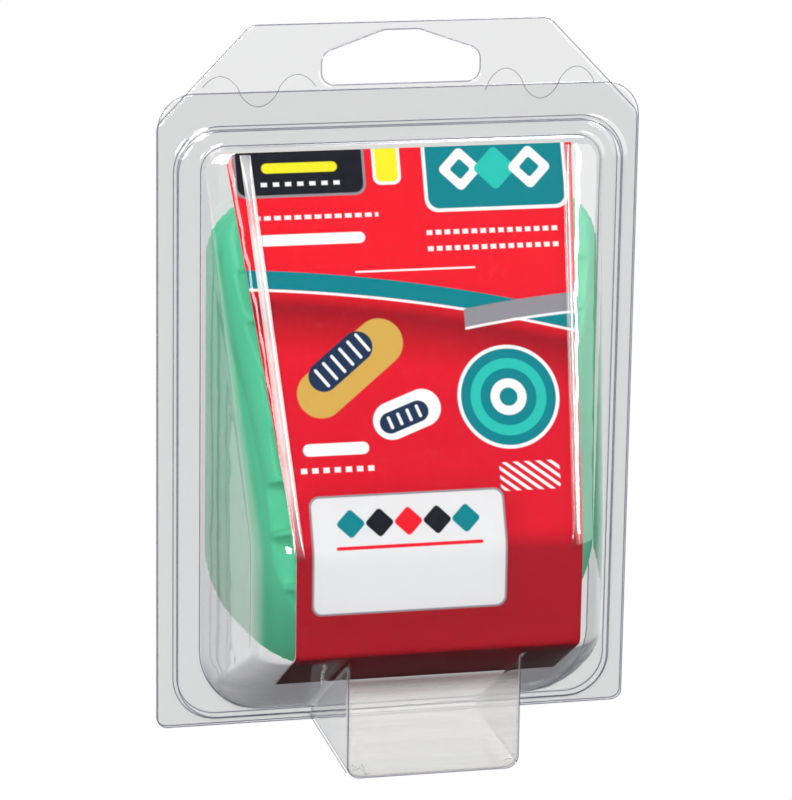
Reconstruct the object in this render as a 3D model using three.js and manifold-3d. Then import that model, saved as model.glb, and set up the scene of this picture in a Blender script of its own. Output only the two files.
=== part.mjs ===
// A pair of nested rubber heel cups in a clear hinged clamshell with a folded card.
// Millimetres, +Z up. The front faces -Y, the pack stands on Z = 0 and its box is centred on the origin.
// Inside the functions Y = 0 is the parting plane between the two halves of the clamshell.

import * as THREE from 'three';
import { mergeVertices } from 'three/addons/utils/BufferGeometryUtils.js';
import Module from 'manifold-3d';

const wasm = await Module();
wasm.setup();

// Clamshell sheet and flange
const PLASTIC = 0.5;
const SEAM_GAP = 0.3;
const FLANGE_WIDTH = 97;
const FLANGE_HEIGHT = 129.6;
const FLANGE_TOP_ROUND = 7;
const FLANGE_BOTTOM_ROUND = 2;

// Raised step around the bubble
const STEP_WIDTH = 90.6;
const STEP_BOTTOM = 1.5;
const STEP_TOP = 123;
const STEP_ROUND = 9;
const STEP_RISE = 1.5;
const STEP_SLOPE = 0.7;

// Bubble: a wedge, shallow at the top, with an upright band above its sloped underside
const BUBBLE_WIDTH = 80.4;
const BUBBLE_TOP = 119.4;
const BUBBLE_BOTTOM = 3.6;
const BUBBLE_TOP_ROUND = 5;
const BUBBLE_BOTTOM_ROUND = 13;
const BUBBLE_DEPTH = 37.3;
const BUBBLE_TOP_DEPTH = 4.9;
const BUBBLE_TOP_EDGE = 0.9;
const BAND_TOP = 46.7;
const BAND_BOTTOM = 25;
const BAND_TOP_BEND = 8;
const BAND_BOTTOM_BEND = 3;
const FACE_WIDTH_TOP = 71;
const FACE_WIDTH_BAND = 55.2;
const SIDE_DRAFT = 0.19;
const CORNER_DEPTH = 9;
const CORNER_SHARE = 0.62;

// Foot that holds the pack upright
const FOOT_WIDTH = 34.6;
const FOOT_DEPTH = 36.7;
const FOOT_EDGE_ROUND = 2;
const FOOT_CORNER_ROUND = 2.5;

// Hang tab of the rear half
const TAB_TOP = 142.6;
const TAB_TOP_WIDTH = 60;
const TAB_SHOULDER = 123.3;
const TAB_ROUND = 3;
const HOLE_WIDTH = 31.8;
const HOLE_BOTTOM = 130.3;
const HOLE_SHOULDER = 136.6;
const HOLE_PEAK = 141;
const HOLE_PEAK_WIDTH = 7;
const HOLE_ROUND = 2.6;

// Plug of the rear half, which sits inside the step
const PLUG_CLEARANCE = 0.4;
const PLUG_RISE = 0.8;

// Card
const CARD_THICKNESS = 0.4;
const CARD_CLEARANCE = 0.3;
const CARD_TOP = 118.4;
const CARD_TOP_WIDTH = 69.4;
const CARD_BAND_WIDTH = 56.8;
const CARD_TOP_SHIFT = -1.2;
const CARD_BAND_SHIFT = 0.6;
const CARD_FLAP = 11.5;

// Heel cup, in its own frame: heel end at Y = 0, toe end at Y = CUP_LENGTH, sole on Z = 0
const CUP_LENGTH = 89.5;
const CUP_WIDTH = 75.8;
const CUP_WALL = 1.4;
const CUP_HEEL_ROUND = 24;
const CUP_TOE_ROUND = 11;
const CUP_SIDE_FLARE = { heel: 0.2, toe: 0.86 };
const CUP_HEEL_FLARE = 0.13;
const SOLE_SIDE_ROUND = { across: 6, up: 8 };
const SOLE_HEEL_ROUND = { across: 27, up: 20 };
const HOLLOW_SIDE_ROUND = { across: 9, up: 7 };
const HOLLOW_HEEL_ROUND = { across: 20, up: 15 };
const FLOOR_HEEL = 6.6;
const FLOOR_TOE = 2;

// Waffle under the sole
const WAFFLE_PITCH = 10.4;
const WAFFLE_RIB = 1.3;
const WAFFLE_MEMBRANE = 1.9;
const WAFFLE_LEAST_DEPTH = 0.8;

// How the cups lie in the bubble
const CUP_TO_CARD = 0.8;
const CUP_TOE_BELOW_TOP = 9;
const NEST_RISE_TOE = 3.4;
const NEST_TILT = 4;
const NEST_SLIDE = 0.8;
const NEST_TO_PLUG = 0.4;

// Facets
const ROUND_STEPS = 6;
const BUBBLE_CORNER_STEPS = 7;
const CUP_HEEL_STEPS = 12;
const CUP_TOE_STEPS = 5;
const CUP_SIDE_STEPS = 4;
const CUP_ROUND_STEPS = 6;

const SEAM = SEAM_GAP / 2;
const FLANGE_FACE = -SEAM - PLASTIC;
const STEP_FACE = FLANGE_FACE - STEP_RISE;
const REAR_FACE = SEAM + PLASTIC;
const PLUG_FACE = SEAM - PLUG_RISE;
const CUT_PAST = 2;

const lerp = THREE.MathUtils.lerp;
const clamp = THREE.MathUtils.clamp;

// Plane outlines: corners are { p, q, r }, with r the corner's round

function direction(from, to) {
  const length = Math.hypot(to.p - from.p, to.q - from.q);
  return { p: (to.p - from.p) / length, q: (to.q - from.q) / length };
}

function cornerArc(before, corner, after, steps) {
  const inward = direction(corner, before);
  const onward = direction(corner, after);
  const opening = Math.acos(clamp(inward.p * onward.p + inward.q * onward.q, -1, 1));
  const reach = corner.r / Math.tan(opening / 2);
  const bisector = { p: inward.p + onward.p, q: inward.q + onward.q };
  const toCentre = corner.r / Math.sin(opening / 2) / Math.hypot(bisector.p, bisector.q);
  const centre = { p: corner.p + bisector.p * toCentre, q: corner.q + bisector.q * toCentre };
  const start = Math.atan2(corner.q + inward.q * reach - centre.q, corner.p + inward.p * reach - centre.p);
  const end = Math.atan2(corner.q + onward.q * reach - centre.q, corner.p + onward.p * reach - centre.p);
  const turn = Math.atan2(Math.sin(end - start), Math.cos(end - start));
  const points = [];
  for (let i = 0; i <= steps; i += 1) {
    const angle = start + (turn * i) / steps;
    points.push({ p: centre.p + corner.r * Math.cos(angle), q: centre.q + corner.r * Math.sin(angle) });
  }
  return points;
}

function roundedLoop(corners, steps) {
  const count = corners.length;
  return corners.flatMap((corner, i) => {
    const before = corners[(i + count - 1) % count];
    const after = corners[(i + 1) % count];
    return cornerArc(before, corner, after, steps);
  });
}

function roundedPath(corners, steps) {
  return corners.flatMap((corner, i) => {
    const isEnd = i === 0 || i === corners.length - 1;
    return isEnd || !corner.r ? [corner] : cornerArc(corners[i - 1], corner, corners[i + 1], steps);
  });
}

// Moves an open path's lines to the left of its direction by distance, and keeps its rounds parallel
function offsetPath(corners, distance) {
  const sides = corners.slice(1).map((corner, i) => direction(corners[i], corner));
  return corners.map((corner, i) => {
    const before = sides[Math.max(i - 1, 0)];
    const after = sides[Math.min(i, sides.length - 1)];
    const normal = { p: -(before.q + after.q), q: before.p + after.p };
    const size = Math.hypot(normal.p, normal.q);
    const stretch = distance / (size / 2);
    const moved = { p: corner.p + (normal.p / size) * stretch, q: corner.q + (normal.q / size) * stretch };
    return { ...moved, r: corner.r ? Math.max(corner.r - distance, 0.2) : 0 };
  });
}

function roundedBox(width, bottom, top, bottomRound, topRound) {
  return [
    { p: -width / 2, q: bottom, r: bottomRound },
    { p: width / 2, q: bottom, r: bottomRound },
    { p: width / 2, q: top, r: topRound },
    { p: -width / 2, q: top, r: topRound },
  ];
}

// Solids from rings of points

function middleOf(ring) {
  const sum = ring.reduce((total, point) => total.add(point), new THREE.Vector3());
  return sum.divideScalar(ring.length);
}

// Joins rings of equally many points, and closes both ends with a fan round the ring's middle
function loft(rings) {
  const count = rings[0].length;
  const last = (rings.length - 1) * count;
  const startMiddle = rings.length * count;
  const endMiddle = startMiddle + 1;
  const faces = [];
  for (let i = 0; i < count; i += 1) {
    const next = (i + 1) % count;
    faces.push([startMiddle, next, i], [endMiddle, last + i, last + next]);
    for (let a = i, b = next; a < last; a += count, b += count) {
      faces.push([a, b, b + count], [a, b + count, a + count]);
    }
  }
  const geometry = new THREE.BufferGeometry();
  const points = [...rings.flat(), middleOf(rings[0]), middleOf(rings.at(-1))];
  geometry.setAttribute('position', new THREE.Float32BufferAttribute(points.flatMap((p) => p.toArray()), 3));
  geometry.setIndex(faces.flat());
  return toSolid(geometry);
}

function signedVolume(vertices, triangles) {
  let volume = 0;
  const [a, b, c] = [new THREE.Vector3(), new THREE.Vector3(), new THREE.Vector3()];
  for (let i = 0; i < triangles.length; i += 3) {
    a.fromArray(vertices, triangles[i] * 3);
    b.fromArray(vertices, triangles[i + 1] * 3);
    c.fromArray(vertices, triangles[i + 2] * 3);
    volume += a.dot(b.cross(c)) / 6;
  }
  return volume;
}

function toSolid(geometry) {
  geometry.deleteAttribute('normal');
  geometry.deleteAttribute('uv');
  const merged = mergeVertices(geometry, 1e-4);
  const vertProperties = new Float32Array(merged.attributes.position.array);
  const triVerts = new Uint32Array(merged.index.array);
  if (signedVolume(vertProperties, triVerts) < 0) triVerts.reverse();
  return new wasm.Manifold(new wasm.Mesh({ numProp: 3, vertProperties, triVerts }));
}

function toGeometry(solid) {
  const { vertProperties, triVerts } = solid.getMesh();
  const geometry = new THREE.BufferGeometry();
  geometry.setAttribute('position', new THREE.BufferAttribute(new Float32Array(vertProperties), 3));
  geometry.setIndex(new THREE.BufferAttribute(new Uint32Array(triVerts), 1));
  return geometry;
}

function ringAt(loop, y) {
  return loop.map(({ p, q }) => new THREE.Vector3(p, y, q));
}

// A sheet with a front-view outline, from y = back forward to y = front
function plate(loop, holes, back, front) {
  const shape = new THREE.Shape(loop.map(({ p, q }) => new THREE.Vector2(p, q)));
  shape.holes = holes.map((hole) => new THREE.Path(hole.map(({ p, q }) => new THREE.Vector2(p, q))));
  const geometry = new THREE.ExtrudeGeometry(shape, { depth: back - front, bevelEnabled: false });
  geometry.rotateX(Math.PI / 2);
  geometry.translate(0, back, 0);
  return toSolid(geometry);
}

// A raised field: straight from y = back to its root, and from there sloped inward to y = front
function raisedField(inset, back, root, front) {
  const loop = (extra) => roundedLoop(roundedBox(
    STEP_WIDTH - 2 * (inset + extra), STEP_BOTTOM + inset + extra, STEP_TOP - inset - extra,
    STEP_ROUND - inset - extra, STEP_ROUND - inset - extra), ROUND_STEPS);
  return loft([ringAt(loop(0), back), ringAt(loop(0), root), ringAt(loop(STEP_SLOPE), front)]);
}

// The bubble's side view, from its top edge down to its root: p is y and q is z
function wedgeCorners(inset) {
  const rootSlope = (BAND_BOTTOM - BUBBLE_BOTTOM) / (BUBBLE_DEPTH + STEP_FACE);
  const corners = [
    { p: -BUBBLE_TOP_DEPTH, q: BUBBLE_TOP, r: 0 },
    { p: -BUBBLE_DEPTH, q: BAND_TOP, r: BAND_TOP_BEND },
    { p: -BUBBLE_DEPTH, q: BAND_BOTTOM, r: BAND_BOTTOM_BEND },
    { p: CUT_PAST, q: BUBBLE_BOTTOM + rootSlope * (STEP_FACE - CUT_PAST), r: 0 },
  ];
  return offsetPath(corners, inset);
}

function depthAt(path, z) {
  for (let i = 0; i < path.length - 1; i += 1) {
    const [upper, lower] = [path[i], path[i + 1]];
    if (z <= upper.q && z >= lower.q) {
      return -lerp(upper.p, lower.p, (upper.q - z) / Math.max(upper.q - lower.q, 1e-6));
    }
  }
  return z > path[0].q ? -path[0].p : -path.at(-1).p;
}

function cornerLoss(round, fromEnd) {
  const missing = clamp(round - fromEnd, 0, round);
  return round - Math.sqrt(round * round - missing * missing);
}

function bubbleSection(path, z, inset, back) {
  const top = BUBBLE_TOP - inset;
  const bottom = BUBBLE_BOTTOM + inset;
  const endLoss = Math.max(
    cornerLoss(BUBBLE_TOP_ROUND - inset, top - z),
    cornerLoss(BUBBLE_BOTTOM_ROUND - inset, z - bottom));
  const half = BUBBLE_WIDTH / 2 - inset - endLoss;
  const depth = depthAt(path, z) - cornerLoss(BUBBLE_TOP_EDGE, top - z);
  const root = -STEP_FACE - inset;
  const cornerDepth = Math.min(CORNER_DEPTH - inset, Math.max(depth - root, 0.1) * CORNER_SHARE);
  const side = half - SIDE_DRAFT * Math.max(depth - cornerDepth - root, 0);
  const towardBand = clamp((BUBBLE_TOP - z) / (BUBBLE_TOP - BAND_TOP), 0, 1);
  const face = Math.min(lerp(FACE_WIDTH_TOP, FACE_WIDTH_BAND, towardBand) / 2, side - 0.8 * cornerDepth);
  const straightTo = -Math.min(root, depth - cornerDepth);
  const right = [new THREE.Vector3(half, back, z), new THREE.Vector3(half, straightTo, z)];
  for (let i = 0; i <= BUBBLE_CORNER_STEPS; i += 1) {
    const angle = (Math.PI / 2) * (i / BUBBLE_CORNER_STEPS);
    const x = face + (side - face) * Math.cos(angle);
    right.push(new THREE.Vector3(x, -(depth - cornerDepth + cornerDepth * Math.sin(angle)), z));
  }
  const left = right.map((point) => new THREE.Vector3(-point.x, point.y, point.z)).reverse();
  return [...right, ...left];
}

function bubbleSolid(inset, back) {
  const path = roundedPath(wedgeCorners(inset), ROUND_STEPS);
  const top = BUBBLE_TOP - inset;
  const bottom = BUBBLE_BOTTOM + inset;
  const levels = path.map((point) => point.q);
  for (let i = 0; i <= ROUND_STEPS; i += 1) {
    const share = 1 - Math.cos((Math.PI / 2) * (i / ROUND_STEPS));
    levels.push(top - (BUBBLE_TOP_ROUND - inset) * share, bottom + (BUBBLE_BOTTOM_ROUND - inset) * share);
  }
  const inside = levels.filter((z) => z >= bottom - 1e-6 && z <= top + 1e-6).sort((a, b) => a - b);
  const distinct = inside.filter((z, i) => i === 0 || z - inside[i - 1] > 0.05);
  return loft(distinct.map((z) => bubbleSection(path, z, inset, back)));
}

function footSolid(inset, back) {
  const top = BAND_BOTTOM + PLASTIC;
  const loop = (extra) => roundedLoop(
    roundedBox(FOOT_WIDTH - 2 * (inset + extra), inset + extra, top, FOOT_CORNER_ROUND, FOOT_CORNER_ROUND),
    ROUND_STEPS);
  const front = -FOOT_DEPTH + inset;
  const rings = [ringAt(loop(0), back)];
  for (let i = 0; i <= ROUND_STEPS; i += 1) {
    const angle = (Math.PI / 2) * (i / ROUND_STEPS);
    const extra = FOOT_EDGE_ROUND * (1 - Math.cos(angle)) * 0.5;
    rings.push(ringAt(loop(extra), front + FOOT_EDGE_ROUND * (1 - Math.sin(angle))));
  }
  return loft(rings);
}

function frontShell() {
  const outline = roundedLoop(
    roundedBox(FLANGE_WIDTH, 0, FLANGE_HEIGHT, FLANGE_BOTTOM_ROUND, FLANGE_TOP_ROUND), ROUND_STEPS);
  const body = plate(outline, [], -SEAM, FLANGE_FACE)
    .add(raisedField(0, -SEAM, FLANGE_FACE, STEP_FACE))
    .add(bubbleSolid(0, -SEAM))
    .add(footSolid(0, -SEAM));
  const cavity = raisedField(PLASTIC, CUT_PAST, -SEAM, STEP_FACE + PLASTIC)
    .add(bubbleSolid(PLASTIC, CUT_PAST))
    .add(footSolid(PLASTIC, CUT_PAST));
  return body.subtract(cavity);
}

function tabLoop() {
  const half = FLANGE_WIDTH / 2;
  return roundedLoop([
    { p: -half, q: 0, r: FLANGE_BOTTOM_ROUND },
    { p: half, q: 0, r: FLANGE_BOTTOM_ROUND },
    { p: half, q: TAB_SHOULDER, r: TAB_ROUND },
    { p: TAB_TOP_WIDTH / 2, q: TAB_TOP, r: TAB_ROUND },
    { p: -TAB_TOP_WIDTH / 2, q: TAB_TOP, r: TAB_ROUND },
    { p: -half, q: TAB_SHOULDER, r: TAB_ROUND },
  ], ROUND_STEPS);
}

function holeLoop() {
  const half = HOLE_WIDTH / 2;
  return roundedLoop([
    { p: -half, q: HOLE_BOTTOM, r: HOLE_ROUND },
    { p: half, q: HOLE_BOTTOM, r: HOLE_ROUND },
    { p: half, q: HOLE_SHOULDER, r: HOLE_ROUND },
    { p: HOLE_PEAK_WIDTH / 2, q: HOLE_PEAK, r: HOLE_ROUND },
    { p: -HOLE_PEAK_WIDTH / 2, q: HOLE_PEAK, r: HOLE_ROUND },
    { p: -half, q: HOLE_SHOULDER, r: HOLE_ROUND },
  ], ROUND_STEPS);
}

function rearShell() {
  const inset = PLASTIC + PLUG_CLEARANCE;
  return plate(tabLoop(), [holeLoop()], REAR_FACE, SEAM)
    .add(raisedField(inset, REAR_FACE, SEAM, PLUG_FACE))
    .subtract(raisedField(inset + PLASTIC, REAR_FACE + CUT_PAST, REAR_FACE, PLUG_FACE + PLASTIC));
}

// Card: a folded strip that follows the wedge just inside the bubble
function cardSolid() {
  const outer = PLASTIC + CARD_CLEARANCE;
  const trimmed = (inset) => {
    const corners = wedgeCorners(inset);
    const down = direction(corners[0], corners[1]);
    const trim = (corners[0].q - CARD_TOP) / -down.q;
    const flap = direction(corners[2], corners[3]);
    const start = { p: corners[0].p + down.p * trim, q: corners[0].q + down.q * trim, r: 0 };
    const end = { p: corners[2].p + flap.p * CARD_FLAP, q: corners[2].q + flap.q * CARD_FLAP, r: 0 };
    return roundedPath([start, corners[1], corners[2], end], ROUND_STEPS);
  };
  const face = trimmed(outer);
  const back = trimmed(outer + CARD_THICKNESS);
  return loft(face.map((point, i) => {
    const share = clamp((CARD_TOP - point.q) / (CARD_TOP - BAND_TOP), 0, 1);
    const half = lerp(CARD_TOP_WIDTH, CARD_BAND_WIDTH, share) / 2;
    const middle = lerp(CARD_TOP_SHIFT, CARD_BAND_SHIFT, share);
    return [
      new THREE.Vector3(middle - half, point.p, point.q),
      new THREE.Vector3(middle + half, point.p, point.q),
      new THREE.Vector3(middle + half, back[i].p, back[i].q),
      new THREE.Vector3(middle - half, back[i].p, back[i].q),
    ];
  }));
}

// The cups lean with the bubble's front: their soles face it, toes up and heels on its underside
const frontLine = wedgeCorners(PLASTIC + CARD_CLEARANCE + CARD_THICKNESS + CUP_TO_CARD);
const frontDown = direction(frontLine[0], frontLine[1]);
const lean = Math.atan2(-frontDown.q, -frontDown.p);
const heelReach = CUP_TOE_BELOW_TOP + CUP_LENGTH;
const heelPoint = {
  p: frontLine[0].p + frontDown.p * heelReach,
  q: frontLine[0].q + frontDown.q * heelReach,
};
const nestTilt = THREE.MathUtils.degToRad(NEST_TILT);

// Height of the rim above the sole: the inner cup's rim stays clear of the rear plug all the way along
function rimHeight(y) {
  const sole = {
    y: CUP_LENGTH + NEST_SLIDE + (y - CUP_LENGTH) * Math.cos(nestTilt),
    z: NEST_RISE_TOE - (y - CUP_LENGTH) * Math.sin(nestTilt),
  };
  const room = PLUG_FACE - NEST_TO_PLUG - heelPoint.p + frontDown.p * sole.y + frontDown.q * sole.z;
  return room / Math.sin(lean + nestTilt);
}

// Heel cup: everything is measured inward from the rim's outline

function rimStations() {
  const half = CUP_WIDTH / 2;
  const corners = [
    { p: half, q: 0, r: CUP_HEEL_ROUND, steps: CUP_HEEL_STEPS },
    { p: half, q: CUP_LENGTH, r: CUP_TOE_ROUND, steps: CUP_TOE_STEPS },
    { p: -half, q: CUP_LENGTH, r: CUP_TOE_ROUND, steps: CUP_TOE_STEPS },
    { p: -half, q: 0, r: CUP_HEEL_ROUND, steps: CUP_HEEL_STEPS },
  ];
  const stations = [];
  corners.forEach((corner, i) => {
    const before = corners[(i + 3) % 4];
    const after = corners[(i + 1) % 4];
    const arc = cornerArc(before, corner, after, corner.steps);
    const centre = {
      p: corner.p - Math.sign(corner.p) * corner.r,
      q: corner.q + (corner.q > 0 ? -corner.r : corner.r),
    };
    arc.forEach((point) => {
      const inward = { p: (centre.p - point.p) / corner.r, q: (centre.q - point.q) / corner.r };
      stations.push({ ...point, inward });
    });
    const isSide = i === 0 || i === 2;
    if (isSide) {
      const from = arc.at(-1);
      const toRound = corner.q > 0 ? CUP_HEEL_ROUND : CUP_LENGTH - CUP_TOE_ROUND;
      for (let k = 1; k < CUP_SIDE_STEPS; k += 1) {
        const q = lerp(from.q, toRound, k / CUP_SIDE_STEPS);
        stations.push({ p: corner.p, q, inward: { p: -Math.sign(corner.p), q: 0 } });
      }
    }
  });
  return stations;
}

const towardHeel = (inward) => Math.max(inward.q, 0) ** 4;
const floorHeight = (y) => lerp(FLOOR_HEEL, FLOOR_TOE, y / CUP_LENGTH);
const sideFlare = (y) => lerp(CUP_SIDE_FLARE.heel, CUP_SIDE_FLARE.toe, clamp(y / CUP_LENGTH, 0, 1));

// Inward distance and height of a wall's foot round, and the wall above it, at one station
function wallShape(station, wall, bottom, sideRound, heelRound) {
  const heel = towardHeel(station.inward);
  const flare = lerp(sideFlare(station.q), CUP_HEEL_FLARE, heel);
  const rim = rimHeight(station.q);
  const room = Math.max(rim - bottom, 0.1);
  const up = Math.min(lerp(sideRound.up, heelRound.up, heel), room * 0.7);
  const across = lerp(sideRound.across, heelRound.across, heel) * Math.min(1, room / (2 * sideRound.up));
  const wallFoot = wall + flare * (rim - bottom - up);
  return { flare, rim, up, across, wallFoot };
}

function cupRing(stations, wall, bottomOf, sideRound, heelRound, place) {
  return stations.map((station) => {
    const bottom = bottomOf(station.q);
    const shape = wallShape(station, wall, bottom, sideRound, heelRound);
    const { inward, up } = place(shape, bottom);
    const y = station.q + station.inward.q * inward;
    return new THREE.Vector3(station.p + station.inward.p * inward, y, up);
  });
}

function cupBody(wall, bottomOf, sideRound, heelRound, above) {
  const stations = rimStations();
  const rings = [];
  for (let i = 0; i <= CUP_ROUND_STEPS; i += 1) {
    const angle = (Math.PI / 2) * (i / CUP_ROUND_STEPS);
    rings.push(cupRing(stations, wall, bottomOf, sideRound, heelRound, (shape, bottom) => ({
      inward: shape.wallFoot + shape.across * (1 - Math.sin(angle)),
      up: bottom + shape.up * (1 - Math.cos(angle)),
    })));
  }
  rings.push(cupRing(stations, wall, bottomOf, sideRound, heelRound, (shape) => ({
    inward: wall - shape.flare * above,
    up: shape.rim + above,
  })));
  return loft(rings);
}

// How far a point of the plan lies inside the rim's outline, and which way is inward there
function insideRim(x, y) {
  const half = CUP_WIDTH / 2;
  const isHeel = y < CUP_LENGTH / 2;
  const round = isHeel ? CUP_HEEL_ROUND : CUP_TOE_ROUND;
  const fromEnd = isHeel ? y : CUP_LENGTH - y;
  const overX = Math.abs(x) - (half - round);
  const overY = round - fromEnd;
  if (overX > 0 && overY > 0) {
    const reach = Math.hypot(overX, overY);
    return { inward: { p: -overX / reach, q: (isHeel ? 1 : -1) * (overY / reach) }, depth: round - reach };
  }
  const fromSide = half - Math.abs(x);
  return fromSide < fromEnd
    ? { inward: { p: -1, q: 0 }, depth: fromSide }
    : { inward: { p: 0, q: isHeel ? 1 : -1 }, depth: fromEnd };
}

// Height of the hollow's surface above a point of the plan
function hollowHeight(x, y) {
  const { inward, depth } = insideRim(x, y);
  const bottom = floorHeight(y);
  const shape = wallShape({ q: y, inward }, CUP_WALL, bottom, HOLLOW_SIDE_ROUND, HOLLOW_HEEL_ROUND);
  const intoRound = clamp((depth - shape.wallFoot) / shape.across, 0, 1);
  return bottom + shape.up * (1 - Math.sqrt(1 - (1 - intoRound) ** 2));
}

function waffleCells() {
  const size = WAFFLE_PITCH - WAFFLE_RIB;
  const columns = Math.floor(CUP_WIDTH / 2 / WAFFLE_PITCH);
  const rows = Math.floor(CUP_LENGTH / WAFFLE_PITCH);
  const margin = CUP_LENGTH - rows * WAFFLE_PITCH;
  const cells = [];
  for (let row = 0; row < rows; row += 1) {
    for (let column = -columns; column <= columns; column += 1) {
      const x = column * WAFFLE_PITCH;
      const y = margin / 2 + (row + 0.5) * WAFFLE_PITCH;
      const reach = size / 2;
      const ends = [[-reach, -reach], [reach, -reach], [reach, reach], [-reach, reach]];
      const { inward, depth } = insideRim(x, y);
      const isUnder = depth > wallShape({ q: y, inward }, 0, 0, SOLE_SIDE_ROUND, SOLE_HEEL_ROUND).wallFoot;
      const ceiling = Math.min(...ends.map(([dx, dy]) => hollowHeight(x + dx, y + dy))) - WAFFLE_MEMBRANE;
      if (isUnder && ceiling > WAFFLE_LEAST_DEPTH) {
        const cell = new THREE.BoxGeometry(size, size, ceiling + CUT_PAST);
        cell.translate(x, y, (ceiling - CUT_PAST) / 2);
        cells.push(toSolid(cell));
      }
    }
  }
  return cells;
}

function heelCup() {
  const outside = cupBody(0, () => 0, SOLE_SIDE_ROUND, SOLE_HEEL_ROUND, 0);
  const hollow = cupBody(CUP_WALL, floorHeight, HOLLOW_SIDE_ROUND, HOLLOW_HEEL_ROUND, CUT_PAST);
  return waffleCells().reduce((cup, cell) => cup.subtract(cell), outside.subtract(hollow));
}

// Finishes

function finish(name, solid, colour, roughness, options = {}) {
  const material = new THREE.MeshStandardMaterial({ color: colour, roughness, metalness: 0, ...options });
  const mesh = new THREE.Mesh(toGeometry(solid), material);
  mesh.name = name;
  return mesh;
}

const CLEAR = { transparent: true, opacity: 0.3 };
const CLEAR_PLASTIC = 0xe8ecee;
const GREEN_RUBBER = 0x52cd9b;
const RED_CARD = 0xcd142d;

const pack = new THREE.Group();
pack.add(finish('front_shell', frontShell(), CLEAR_PLASTIC, 0.08, CLEAR));
pack.add(finish('rear_shell', rearShell(), CLEAR_PLASTIC, 0.08, CLEAR));
pack.add(finish('card', cardSolid(), RED_CARD, 0.35));

const nest = new THREE.Group();
nest.rotation.set(lean, Math.PI, 0);
nest.position.set(0, heelPoint.p, heelPoint.q);
const cup = heelCup();
nest.add(finish('heel_cup_outer', cup, GREEN_RUBBER, 0.6));
const inner = finish('heel_cup_inner', cup, GREEN_RUBBER, 0.6);
const tilt = new THREE.Group();
tilt.position.set(0, CUP_LENGTH + NEST_SLIDE, NEST_RISE_TOE);
tilt.rotation.x = -nestTilt;
inner.position.y = -CUP_LENGTH;
tilt.add(inner);
nest.add(tilt);
pack.add(nest);

pack.position.y = (BUBBLE_DEPTH - REAR_FACE) / 2;

const model = new THREE.Group();
model.add(pack);

export default model;
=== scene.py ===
"""A pair of nested rubber heel cups in a clear hinged clamshell with a folded printed card."""

import math

import bmesh
import bpy
import numpy as np
from mathutils import Matrix, Vector


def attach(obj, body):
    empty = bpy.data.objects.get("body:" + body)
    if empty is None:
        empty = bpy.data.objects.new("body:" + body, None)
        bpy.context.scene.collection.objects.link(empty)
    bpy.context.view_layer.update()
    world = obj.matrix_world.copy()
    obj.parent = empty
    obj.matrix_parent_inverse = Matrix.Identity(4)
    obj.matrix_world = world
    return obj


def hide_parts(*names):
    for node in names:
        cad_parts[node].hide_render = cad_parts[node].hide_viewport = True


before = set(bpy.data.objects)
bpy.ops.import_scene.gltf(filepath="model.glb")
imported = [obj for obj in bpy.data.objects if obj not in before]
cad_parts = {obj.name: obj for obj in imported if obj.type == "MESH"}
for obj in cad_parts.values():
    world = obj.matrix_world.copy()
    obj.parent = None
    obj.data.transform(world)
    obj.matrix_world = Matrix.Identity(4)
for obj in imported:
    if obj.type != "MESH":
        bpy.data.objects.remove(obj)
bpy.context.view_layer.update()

MM = 0.001
SHIFT_Y = 18.325  # the parting plane's place in the frame, mm

# Clamshell sheet and flange, mm
PLASTIC = 0.5
SEAM = 0.15
FLANGE_WIDTH = 97
FLANGE_HEIGHT = 129.6
FLANGE_TOP_ROUND = 7
FLANGE_BOTTOM_ROUND = 2
FLANGE_FACE = -SEAM - PLASTIC
REAR_FACE = SEAM + PLASTIC

# Raised step round the bubble
STEP_WIDTH = 90.6
STEP_BOTTOM = 1.5
STEP_TOP = 123
STEP_ROUND = 9
STEP_RISE = 1.5
STEP_SLOPE = 0.7
STEP_FACE = FLANGE_FACE - STEP_RISE

# Bubble
BUBBLE_WIDTH = 80.4
BUBBLE_TOP = 119.4
BUBBLE_BOTTOM = 3.6
BUBBLE_TOP_ROUND = 5
BUBBLE_BOTTOM_ROUND = 13
BUBBLE_DEPTH = 37.3
BUBBLE_TOP_DEPTH = 4.9
BUBBLE_TOP_EDGE = 0.9
BAND_TOP = 46.7
BAND_BOTTOM = 25
BAND_TOP_BEND = 8
BAND_BOTTOM_BEND = 3
FACE_WIDTH_TOP = 62.6
FACE_WIDTH_BAND = 53.0
SIDE_DRAFT = 0.19
CORNER_DEPTH = 9
CORNER_SHARE = 0.62  # most of the bubble's depth that a corner takes
CORNER_LEAST_WIDTH = 0.8  # of its depth

# Foot
FOOT_WIDTH = 34.6
FOOT_DEPTH = 36.7
FOOT_EDGE_ROUND = 2
FOOT_EDGE_DRAW = 0.5  # how far the round draws in, of its depth
FOOT_CORNER_ROUND = 2.5

# Hang tab and hole
TAB_TOP = 142.6
TAB_TOP_WIDTH = 60
TAB_SHOULDER = 123.3
TAB_ROUND = 3
HOLE_WIDTH = 31.8
HOLE_BOTTOM = 130.3
HOLE_SHOULDER = 136.6
HOLE_PEAK = 141
HOLE_PEAK_WIDTH = 7
HOLE_ROUND = 2.6
PLUG_CLEARANCE = 0.4
PLUG_RISE = 0.8
PLUG_FACE = SEAM - PLUG_RISE

# Card
CARD_THICKNESS = 0.4
CARD_CLEARANCE = 0.3
CARD_TOP = 118.4
CARD_TOP_WIDTH = 69.4
CARD_BAND_WIDTH = 56.8
CARD_TOP_SHIFT = -1.2
CARD_BAND_SHIFT = 0.6
CARD_FLAP = 22

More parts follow.
